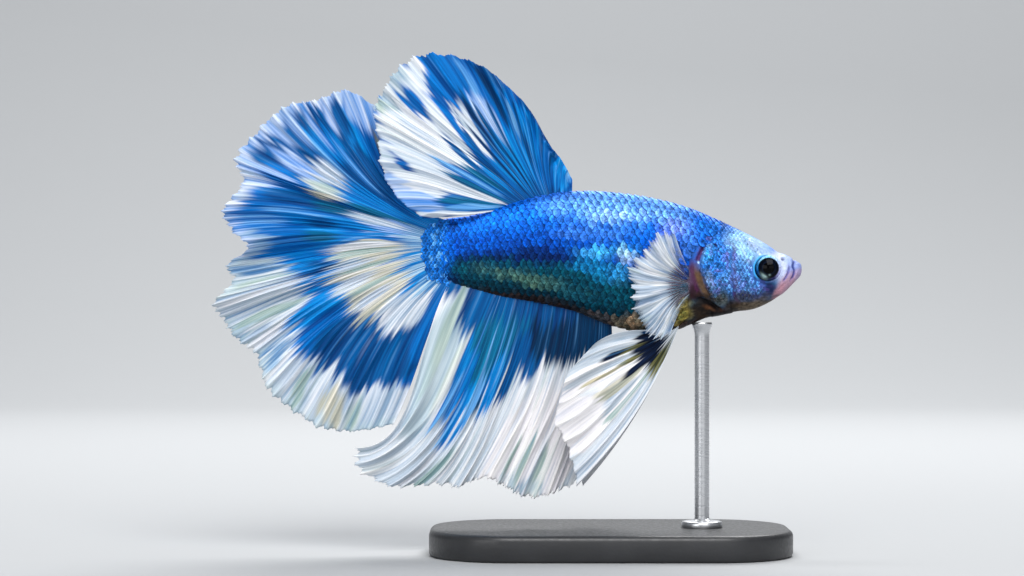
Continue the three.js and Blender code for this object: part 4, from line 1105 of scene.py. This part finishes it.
def fin_piece(name, fin, material, slot, node, side=RIGHT, swing=0.0):
    """A fin as one closed pleated sheet, with a ridge along each ray on both of its faces."""
    columns, rows = fin["columns"], fin["rows"]
    ray = np.linspace(0, 1, columns + 1)[None, :]
    end = fin_margin(fin, ray)
    t = ROOT_START + (end - ROOT_START) * np.linspace(0, 1, rows + 1)[:, None]
    ray, end = (np.broadcast_to(values, t.shape) for values in (ray, end))
    place = fin_place(fin, ray, t)
    flat_x, flat_z = np.moveaxis(fin_flat(fin, place, t), -1, 0)
    middle, half = fin_offset(fin, ray, place, t), fin_thickness(fin, ray, t, end)
    sheets = [joined(flat_x, middle - half, flat_z), joined(flat_x, middle + half, flat_z)]
    points = turned(np.stack(sheets).reshape(-1, 3), fin["roots"][-1], swing)
    front = grid_quads(rows, columns, columns + 1)
    front_uv = grid_uvs(rows, columns, (0.02, 0.51), (0.98, 0.98))
    rim_faces, rim_uvs = rim(rows, columns, t.size)
    faces = [front, front[:, ::-1] + t.size, rim_faces]
    uvs = [front_uv, front_uv[:, ::-1] - (0, 0.49), rim_uvs]
    if side == LEFT:
        points = points * (1, -1, 1)
    else:
        faces, uvs = turned_over(faces), turned_over(uvs)
    colour = painted(fin, ray, np.clip(t, 0, 1.02)).reshape(-1, 3)
    lie = joined(ray, t, 0).reshape(-1, 3)
    values = [("tint", np.tile(colour, (2, 1))), ("lie", np.concatenate([lie, lie + (0, 0, 1)]))]
    if fin is PECTORAL:
        values.append(("veil", np.tile(fin_veil(ray, t, end).reshape(-1, 1), (2, 1))))
    finish_piece(mesh_piece(name, points, faces, uvs, values), material, slot, node)


# ---------------------------------------------------------------- skin

SKIN_ROWS, SKIN_SPOKES = 330, 300


def skin_piece():
    """One skin over the whole body, with the gill covers, folds, lips, nostrils and sockets of the head."""
    places = np.linspace(NOSE, TAIL, 4000)
    # the rows lie closer together on the head, at the nose and at the tail
    weight = 1 + 3 * smooth(places, 8, 10) + 6 * bell(places - NOSE, 0.5) + 5 * bell(places - TAIL, 0.6)
    travelled = np.cumsum(weight)
    travelled = (travelled - travelled[0]) / (travelled[-1] - travelled[0])
    x = np.interp(np.linspace(0, 1, SKIN_ROWS + 1), travelled, places)[:, None]
    share = np.arange(SKIN_SPOKES)[None, :] / SKIN_SPOKES
    plain_x, _, plain_z = np.moveaxis(BODY.at(x, share), -1, 0)
    rings = BODY.at(x, share, head_relief(plain_x, plain_z) - coat_depth(plain_x))
    colour = head_colour(plain_x, plain_z, shaded_between_scales=True)
    points, faces = closed_rings(rings, rings[[0, -1]].mean(1))
    colour = np.concatenate([colour.reshape(-1, 3), colour[[0, -1]].mean(1)])
    uvs = ring_uvs(SKIN_ROWS + 1, SKIN_SPOKES, (0.01, 0.01), (0.99, 0.99))
    piece = mesh_piece("body_skin", points, faces, uvs, [("tint", colour)])
    finish_piece(piece, skin_material(), "skin", "head", "lower_jaw", "gill_cover_right", "gill_cover_left",
                 "trunk", "tail_stem")


# ---------------------------------------------------------------- scales

ROOT_MIDDLE = 36.6      # the height that the tail root's rows are counted from
ROOT_WEB = 0.29         # half the caudal fin's thickness at its root, with its ridges
ROOT_FULL_TO = -21.3    # behind this x the rows of fine scales stay as tall as there
# How far back the fine scales of the tail root come, as height and x.
ROOT_END = [(31.6, -20.4), (32.6, -21.4), (33.4, -22.0), (35.2, -22.4), (37.0, -22.7), (38.9, -22.6),
            (40.3, -21.7), (41.6, -20.6)]
SCALE_END = dict(starts=0.42, length=0.585, power=1.8)      # the rounded free end of a scale's outline
HUE_SPREAD = (0.16, 0.07, 0.04)         # how much red, green and blue differ from scale to scale
MOTTLE_SPREAD = (1.0, 0.6, 0.35)        # and from place to place over the large scales


def scale_stretch(x):
    """How large a scale is at x, next to one at mid body."""
    return 1 - 0.28 * (1 - smooth(x, -22, -5)) - 0.24 * smooth(x, 7, 13)


def wears_scales(x, z):
    """True where the body wears its large scales: behind the gill opening and the nape."""
    return x < value_along(NAPE_EDGE, z)


def wears_small_scales(x, z):
    """True on the gill cover, the cheek and the top of the head."""
    ahead, _ = ahead_of_gill(x, z)
    cover = np.where(z < 37.6, ahead > 0.22, x > value_along(NAPE_EDGE, z) - 0.25)
    crease, _, _ = line_distance(CHEEK_LINE, x, z)
    clear_of_eye = distance_from(ORBIT, x, z) > 1.98
    return cover & (crease > 0.1) & clear_of_eye & (x < value_along(FACE_FRONT, z)) & (z > 31.0)


def wears_root_scales(x, z):
    """True over the tail root, and at random where the fine scales thin out on the fin."""
    rng = np.random.default_rng(ROOT_SCALE["seed"])
    end = value_along(ROOT_END, z) + 0.5 * rng.random(x.shape) - 0.3
    back, belly, _ = section(np.maximum(x, ROOT_FULL_TO))
    return (x > end) & (z < back - 0.15) & (z > belly + 0.15)


def root_colour(x, z):
    """The tail root's blue, in grains of light and dark."""
    grains = noise(x / 0.5, z / 0.5, 61)
    colour = towards(skin_tone("root_blue"), skin_tone("root_pale"), 0.75 * smooth(grains, 0.5, 0.85))
    return towards(colour, skin_tone("root_dark"), 0.8 * smooth(-grains, -0.42, -0.15))


# Kinds of scales, in millimetres. pitch and row set them apart along and across the body, and front, rear and
# width say how far one reaches, in pitches and in rows. root and lift are the heights of its hidden and free
# edges. along and across count its faces. So many rows run on either side of mid flank, from last back to
# first, as far as reach, a share of the girth. own_colour is how far a scale takes its own middle's colour.
SCALE = dict(pitch=0.95, row=0.93, width=0.86, front=-0.32, rear=1.03, root=-0.1, lift=0.06, dome=0.012,
             thick=0.03, along=8, across=10, first=-20.3, last=14.8, rows=12, reach=0.262, seed=11,
             own_colour=0.75, size_at=scale_stretch, worn=wears_scales, colour=body_colour)
FACE_SCALE = dict(pitch=0.48, row=0.43, width=0.78, front=-0.3, rear=1.0, root=-0.05, lift=0.012, dome=0.01,
                  thick=0.014, along=5, across=6, first=10.4, last=19.6, rows=24, reach=0.256, seed=21,
                  own_colour=0.4, size_at=np.ones_like, worn=wears_small_scales, colour=head_colour)
# The fine scales of the tail root, which run out on the base of the caudal fin. Their rows are level.
ROOT_SCALE = dict(pitch=0.46, row=0.38, width=0.82, front=-0.3, rear=0.9, root=-0.06, lift=0.05, dome=0.02,
                  thick=0.03, along=5, across=6, first=-23.2, last=-19.7, rows=14, seed=41,
                  own_colour=0.8, size_at=np.ones_like, colour=root_colour)


def tail_root_at(x, z, side, height):
    """A point beside the tail root at x and z: on the body, or on the caudal fin where that stands out."""
    back, belly, half_width = section(x)
    up = np.clip((2 * z - back - belly) / (back - belly), -1, 1)
    body = side * spine_offset(x) + half_width * (1 - up * up) ** (FLANK_POWER / 2)
    body = np.where(x < TAIL, 0, body)
    return joined(x, side * (np.maximum(body, ROOT_WEB) + height), z)


def scale_lattice(kind):
    """x, row number and size of one side's scales, in staggered rows along the body."""
    x = np.linspace(kind["last"], kind["first"], 2000)
    size = kind["size_at"](x)
    number = np.concatenate([[0], np.cumsum(-np.diff(x) / (kind["pitch"] * size[1:]))])
    centres = []
    for row in range(-kind["rows"], kind["rows"] + 1):
        centres.append(joined(np.interp(np.arange(0.5 * (row % 2), number[-1]), number, x), row))
    at, row = np.concatenate(centres).T
    size = np.interp(-at, -x, size)
    if kind is ROOT_SCALE:
        keep = wears_root_scales(at, ROOT_MIDDLE + row * kind["row"])
    else:
        away = row * kind["row"] * size / BODY.girth_at(at)
        keep = (np.abs(away) < kind["reach"]) & kind["worn"](at, BODY.at(at, away)[:, 2])
    return at[keep], row[keep], size[keep]


def scale_outline(down, wide):
    """A scale's grid: shares down and across it, how far across each point lies, and how far out it is."""
    v, u = 1 - (1 - np.linspace(0, 1, down + 1)) ** 1.5, np.linspace(-1, 1, wide + 1)
    v, u = np.broadcast_arrays(v[:, None], u[None, :])
    power = SCALE_END["power"]
    past = np.clip((v - SCALE_END["starts"]) / SCALE_END["length"], 0, 1)
    outline = (1 - past**power) ** (1 / power) * (0.74 + 0.26 * np.sin(np.pi / 2 * np.clip(v / 0.3, 0, 1)))
    across = u * outline
    return v, u, across, (np.abs(across) ** power + past**power) ** (1 / power)


def shells(upper, lower, border):
    """Rows for scales of count, rows and columns: the upper sheet, the lower one's border, and its middle."""
    upper, lower = (sheet.reshape(len(sheet), -1, sheet.shape[-1]) for sheet in (upper, lower))
    edge = lower[:, border]
    return np.concatenate([upper, edge, edge.mean(1, keepdims=True)], 1).reshape(-1, upper.shape[-1])


def shell_faces(down, wide, border, count):
    """Faces of count shells: their upper sheets, their sides, and the fans that close them below."""
    per = (down + 1) * (wide + 1)
    ring = per + np.arange(len(border))
    after = np.roll(ring, -1)
    parts = [grid_quads(down, wide, wide + 1), joined(np.roll(border, -1), border, ring, after),
             joined(after, ring, per + len(ring))]
    start = (np.arange(count) * (per + len(ring) + 1))[:, None, None]
    return [(part + start).reshape(-1, part.shape[1]) for part in parts]


def scales_piece(name, side, kind):
    """One side's scales as closed rounded shields, each with its free edge lifted towards the tail."""
    x0, row0, size = (values[:, None, None] for values in scale_lattice(kind))
    count, down, wide, pitch = len(x0), kind["along"], kind["across"], kind["pitch"]
    rng = np.random.default_rng(kind["seed"] + (side == LEFT))
    v, u, across, radius = scale_outline(down, wide)
    jitter = rng.normal(0, 1, (count, 6, 1, 1))
    reach = kind["front"] + (kind["rear"] - kind["front"]) * v
    x = x0 - reach * pitch * size * (1 + 0.05 * jitter[:, 0]) + 0.04 * pitch * jitter[:, 1]
    row = row0 + kind["width"] * across * (1 + 0.04 * jitter[:, 2]) + 0.03 * jitter[:, 3]
    share = row * kind["row"] * kind["size_at"](x) / BODY.girth_at(x)
    if side == LEFT:
        share = 0.5 - share

    def lifted(height):
        if kind is ROOT_SCALE:
            return tail_root_at(x, ROOT_MIDDLE + row * kind["row"], side, height)
        return BODY.at(x, share, height)

    plain = lifted(0.0)
    plain_x, _, plain_z = np.moveaxis(plain, -1, 0)
    lift = kind["root"] + (kind["lift"] - kind["root"]) * smooth(v, 0, 0.9)
    lift = (lift + kind["dome"] * (0.5 - across**2)) * size * (1 + 0.12 * jitter[:, 4])
    if kind is FACE_SCALE:
        lift = lift + head_relief(plain_x, plain_z) - 0.01
    thick = kind["thick"] * np.sin(np.pi * np.clip(0.15 + 0.6 * v, 0, 1))
    # colours, partly taken from each scale's own middle
    own_x, _, own_z = np.moveaxis(plain[:, down // 2 + 1, wide // 2, None, None], -1, 0)
    blend = kind["own_colour"]
    colour = kind["colour"](plain_x + (own_x - plain_x) * blend,
                            plain_z + (own_z + 0.2 * jitter[:, 0] - plain_z) * blend)
    colour = colour * np.exp(HUE_SPREAD * rng.normal(0, 1, (count, 1, 1, 1)) + 0.1 * jitter[:, 5:])
    if kind is SCALE:
        mottle = noise(plain_x / 0.3, climb_at(plain_x, plain_z) / 0.3, 51) - 0.5
        colour = colour * np.exp(MOTTLE_SPREAD * mottle[..., None])
    # the painted sheen and shade and the flecks fade on pale scales of the face
    pale = 0.75 * smooth(colour[..., 0], 0.12, 0.4) * (kind is FACE_SCALE)
    lie = joined(radius + (0.75 - radius) * pale, v, 1 - pale)
    # each scale's patch on the unwrap of the skin
    per_x, per_row = 0.96 / (NOSE - TAIL), 1.9 * kind["row"] * size / BODY.girth_at(x0)
    patch_x = x0 - TAIL + 0.4 * pitch * size * (1 - 2 * v)
    patch = joined(0.02 + per_x * patch_x, 0.5 + per_row * (row0 + 0.4 * u))
    border = grid_border(down, wide, wide + 1)
    tint, lie, patch = (shells(part, part, border) for part in (np.clip(colour, 0.001, 1), lie, patch))
    points = shells(lifted(lift), lifted(lift - thick), border)
    faces = turned_over(shell_faces(down, wide, border, count), side == LEFT)
    uvs = [patch[part] for part in faces]
    piece = mesh_piece(name, points, faces, uvs, [("tint", tint), ("lie", lie)], flat=(1, 2))
    finish_piece(piece, SCALES_MATERIAL, "skin")


# ---------------------------------------------------------------- eyes

# Millimetres: disc is the radius of the dark disc in the middle, and dome how far the front bulges.
EYE = dict(x=19.04, z=34.8, radius=1.6, depth=1.0, side=1.75, dome=0.12, disc=1.26, disc_x=19.05)
EYE_RINGS, EYE_SPOKES = 44, 96
# Colours of the ring round the eye's dark disc, by bearing: 0 ahead, 90 up, 180 behind. The dark stops at 270
# and 300, below the disc, are painted shadow under the eye.
EYE_RING = [(0, (190, 200, 238)), (50, (176, 206, 240)), (90, (120, 190, 226)), (125, (160, 222, 244)),
            (160, (60, 150, 212)), (195, (20, 92, 162)), (225, (46, 76, 92)), (245, (120, 140, 136)),
            (270, (40, 52, 76)), (300, (44, 44, 96)), (335, (168, 170, 222)), (360, (190, 200, 238))]
EYE_SHADES = dict(disc=(5, 8, 18), iris=(12, 24, 42), pupil=(2, 2, 3), glint=(176, 208, 204),
                  middle=(3, 3, 5))


def eye_colour(x, z):
    """Linear colours of the eye: a dark disc with its iris and pupil, the ring round it, and soft painted
    glints.
    """
    disc, iris, pupil, shine = (linear(EYE_SHADES[name]) for name in ("disc", "iris", "pupil", "glint"))
    from_disc = np.hypot(x - EYE["disc_x"], z - EYE["z"])
    bearing = np.degrees(np.arctan2(z - EYE["z"], x - EYE["disc_x"])) % 360
    colour = towards(disc, iris, bell(from_disc - 0.8, 0.05))
    colour = towards(colour, pupil, 1 - smooth(from_disc, 0.66, 0.76))
    ring = between_stops(bearing, [(place, linear(rgb)) for place, rgb in EYE_RING])
    ring = ring * (0.7 + 0.6 * noise(x / 0.14, z / 0.14, 92))[..., None]
    colour = towards(colour, ring, smooth(from_disc, EYE["disc"] - 0.03, EYE["disc"] + 0.05))
    # painted highlights; the larger one, low at the rear of the disc, is also the iris's silvery patch there
    glint = bell(from_disc - 1.13, 0.16) * bell(bearing - 238, 20)
    glint = glint + 0.5 * bell(from_disc - 0.85, 0.1) * bell(bearing - 278, 9)
    return towards(colour, shine, np.clip(glint * (0.5 + 0.9 * noise(x / 0.12, z / 0.12, 91)), 0, 1))


def eye_piece(name, side, node):
    """An eyeball with a domed front, a dark iris round its pupil and a blue ring at the rear."""
    polar = np.linspace(0, np.pi, EYE_RINGS + 1)[1:-1, None]
    angle = np.linspace(0, 2 * np.pi, EYE_SPOKES, endpoint=False)
    middle_x, middle_z, stand = EYE["x"], EYE["z"], EYE["side"]
    across = EYE["radius"] * np.sin(polar)
    out = EYE["depth"] * np.cos(polar) + EYE["dome"] * bell(across, 0.9) * (polar < np.pi / 2)
    x, z = middle_x + across * np.cos(angle), middle_z + across * np.sin(angle)
    reaches = (EYE["depth"] + EYE["dome"], -EYE["depth"])
    ends = [(middle_x, side * (stand + reach), middle_z) for reach in reaches]
    points, faces = closed_rings(joined(x, side * (stand + out), z), ends)
    points[:, 1] += spine_offset(points[:, 0])
    colour = np.concatenate([eye_colour(x, z).reshape(-1, 3), [linear(EYE_SHADES["middle"])] * 2])
    # the map shows the front half and the rear half next to each other
    half = np.where((points[:, 1] * side > stand)[:, None], (0.25, 0.5), (0.75, 0.5))
    places = half + (points[:, ::2] - (middle_x, middle_z)) * (0.45, 0.9) / (2.2 * EYE["radius"])
    faces = turned_over(faces, side == LEFT)
    piece = mesh_piece(name, points, faces, [places[part] for part in faces], [("tint", colour)])
    finish_piece(piece, EYE_MATERIAL, "eye", node)


# ---------------------------------------------------------------- stand

BASE = dict(corner=10, bevel=0.7)       # millimetres
LATHE_SPOKES = 48
# Profiles of the rod and its collar: radius and height in millimetres, from the axis and back to it.
ROD = [(0, 1.5), (0.86, 1.5), (0.9, 1.56), (0.9, 2.6), (0.9, 26.6), (0.93, 26.9), (1.02, 27.3), (1.18, 27.7),
       (1.25, 27.95), (1.25, 28.15), (1.15, 28.2), (0.8, 28.12), (0, 28.1)]
COLLAR = [(0, 3.1), (2.4, 3.1), (2.5, 3.2), (2.5, 3.75), (2.42, 3.92), (2.1, 4.0), (1.3, 4.02), (1.05, 4.1),
          (0.96, 4.3), (0, 4.3)]


def rounded_outline(length, width, corner, steps=16):
    """Points round a rectangle with round corners."""
    points = []
    for number, (ahead, left) in enumerate([(1, -1), (1, 1), (-1, 1), (-1, -1)]):
        angle = np.linspace(-np.pi / 2, 0, steps) + number * np.pi / 2
        points.append(joined(ahead * (length / 2 - corner) + corner * np.cos(angle),
                             left * (width / 2 - corner) + corner * np.sin(angle)))
    return np.concatenate(points)


def base_piece():
    """The stand's plate, with its edges eased over."""
    low, high = (np.array(corner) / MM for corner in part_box("stand_base"))
    length, width, height = high - low
    bevel = BASE["bevel"]
    # inset, level and share of the outline, from the underside up and over the top
    rows = [(0.9 * bevel, 0.0, 1), (0.25 * bevel, 0.12, 1), (0.0, 0.45, 1)]
    for turn in np.linspace(0, np.pi / 2, 7):
        rows.append((bevel * (1 - np.cos(turn)), height - bevel + bevel * np.sin(turn), 1))
    rows += [(bevel, height, share) for share in (0.93, 0.7, 0.4)]
    rings = []
    for inset, level, share in rows:
        outline = rounded_outline(length - 2 * inset, width - 2 * inset, BASE["corner"] - inset) * share
        rings.append(joined(*outline.T, level))
    points, faces = closed_rings(np.array(rings), [(0, 0, 0), (0, 0, height)])
    # the rounded edge takes the right half of the map, and the two flat ends lie in the left as seen from above
    plan = points[:, :2] / (2.2 * length)
    uvs = [grid_uvs(len(rings) - 1, len(rings[0]), (0.52, 0.05), (0.98, 0.95)),
           plan[faces[1]] + (0.25, 0.5), plan[faces[2]] + (0.25, 0.75)]
    piece = mesh_piece("stand_base_plate", points, faces, uvs)
    finish_piece(piece, base_material(), "stand_base", "stand_base")


def rod_pieces():
    """The turned rod with its cup, and the collar at its foot."""
    low, high = (np.array(corner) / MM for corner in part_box("stand_rod"))
    x, y = ((low + high) / 2)[:2]
    angle = np.linspace(0, 2 * np.pi, LATHE_SPOKES, endpoint=False)
    steel = rod_material()
    for name, profile, nodes in (("stand_rod_turned", ROD, ["stand_rod"]), ("stand_collar", COLLAR, [])):
        radius, height = np.array(profile[1:-1]).T[..., None]
        rings = joined(x + radius * np.cos(angle), y + radius * np.sin(angle), height)
        points, faces = closed_rings(rings, [(x, y, profile[0][1]), (x, y, profile[-1][1])])
        uvs = ring_uvs(*rings.shape[:2], (0.02, 0.05), (0.98, 0.95))
        finish_piece(mesh_piece(name, points, faces, uvs), steel, "stand_rod", *nodes)


# ---------------------------------------------------------------- stage, lights and camera

FISH = (-0.012, 0, 0.036)
# Soft lamps, in metres and watts: name, place, width and height, power, and the place they aim at.
SOFTBOXES = [
    ("key", (0.03, -0.40, 0.46), (0.42, 0.36), 3.3, FISH),
    ("fill", (0.16, -0.56, 0.06), (0.4, 0.4), 0.6, FISH),
    ("fill_left", (-0.34, -0.46, 0.1), (0.3, 0.3), 0.8, FISH),
    ("rim", (0.05, 0.32, 0.40), (0.4, 0.2), 2.0, FISH),
    ("wash", (0, 0.2, 0.6), (0.6, 0.2), 3.2, (0, 0.7, 0.12)),
]
VIEW = dict(x=-11.96, z=32.38, distance=347, lens=100)      # millimetres


def backdrop():
    """A plain floor that curves up into a wall behind."""
    profile = [(y, 0) for y in (-4000, -900, -200, 0, 200, 420)]
    for turn in np.linspace(0.1, math.pi / 2, 14):
        profile.append((420 + 300 * math.sin(turn), 300 - 300 * math.cos(turn)))
    profile += [(720, 900), (720, 1600)]
    rows, columns = len(profile) - 1, 12
    y, z = np.array(profile, float).T[..., None]
    points = joined(np.linspace(-3600, 3600, columns + 1), y, z).reshape(-1, 3)
    faces, uvs = grid_quads(rows, columns, columns + 1), grid_uvs(rows, columns, (0, 0), (1, 1))
    stage = mesh_piece("stage_floor", points, [faces], [uvs])
    material, tree, shader = new_material("stage_paper", roughness=0.9, specular=0.1)
    shader.inputs["Base Color"].default_value = (0.43, 0.44, 0.45, 1)
    bumped(tree, shader, noise_node(tree, object_place(tree), 60, 3), 0.0002, 0.2)
    stage.data.materials.append(material)


def lights():
    """The soft lamps and a weak, even sky."""
    for name, place, size, power, aim in SOFTBOXES:
        light = bpy.data.lights.new(name, "AREA")
        light.shape = "RECTANGLE"
        light.size, light.size_y = size
        light.energy = power
        lamp = bpy.data.objects.new(name, light)
        lamp.location = place
        lamp.rotation_euler = (Vector(aim) - Vector(place)).to_track_quat("-Z", "Y").to_euler()
        bpy.context.scene.collection.objects.link(lamp)
    world = bpy.data.worlds.new("studio")
    world.use_nodes = True
    sky = world.node_tree.nodes["Background"]
    sky.inputs["Color"].default_value = (0.86, 0.9, 0.96, 1)
    sky.inputs["Strength"].default_value = 0.3
    bpy.context.scene.world = world


def camera():
    """The photo's view: level, from the fish's right side."""
    data = bpy.data.cameras.new("view")
    data.lens = VIEW["lens"]
    data.sensor_width = 36
    data.clip_start, data.clip_end = 0.01, 10
    eye = bpy.data.objects.new("view", data)
    eye.location = (VIEW["x"] * MM, -VIEW["distance"] * MM, VIEW["z"] * MM)
    eye.rotation_euler = (math.pi / 2, 0, 0)
    bpy.context.scene.collection.objects.link(eye)
    bpy.context.scene.camera = eye


# ---------------------------------------------------------------- the model

bpy.context.scene.view_settings.view_transform = "Standard"
camera()
backdrop()
lights()
SCALES_MATERIAL = scale_material()
EYE_MATERIAL = eye_material()
FIN_MATERIAL = fin_material("betta_fins", 900)
CLEAR_FIN_MATERIAL = fin_material("betta_clear_fins", 300, veiled=True)
skin_piece()
for word, side in (("right", RIGHT), ("left", LEFT)):
    scales_piece(f"body_scales_{word}", side, SCALE)
    scales_piece(f"face_scales_{word}", side, FACE_SCALE)
    scales_piece(f"root_scales_{word}", side, ROOT_SCALE)
for word, fin in (("caudal", CAUDAL), ("anal", ANAL), ("dorsal", DORSAL)):
    fin_piece(f"{word}_fin_web", fin, FIN_MATERIAL, "fin", f"{word}_fin")
for word, side, swing in (("right", RIGHT, 0), ("left", LEFT, 3)):
    pectoral, pelvic = f"pectoral_fin_{word}", f"pelvic_fin_{word}"
    fin_piece(f"{pectoral}_web", PECTORAL, CLEAR_FIN_MATERIAL, "clear_fin", pectoral, side)
    fin_piece(f"{pelvic}_web", PELVIC, FIN_MATERIAL, "fin", pelvic, side, swing)
eye_piece("eyeball_right", RIGHT, "eye_right")
eye_piece("eyeball_left", LEFT, "eye_left")
base_piece()
rod_pieces()
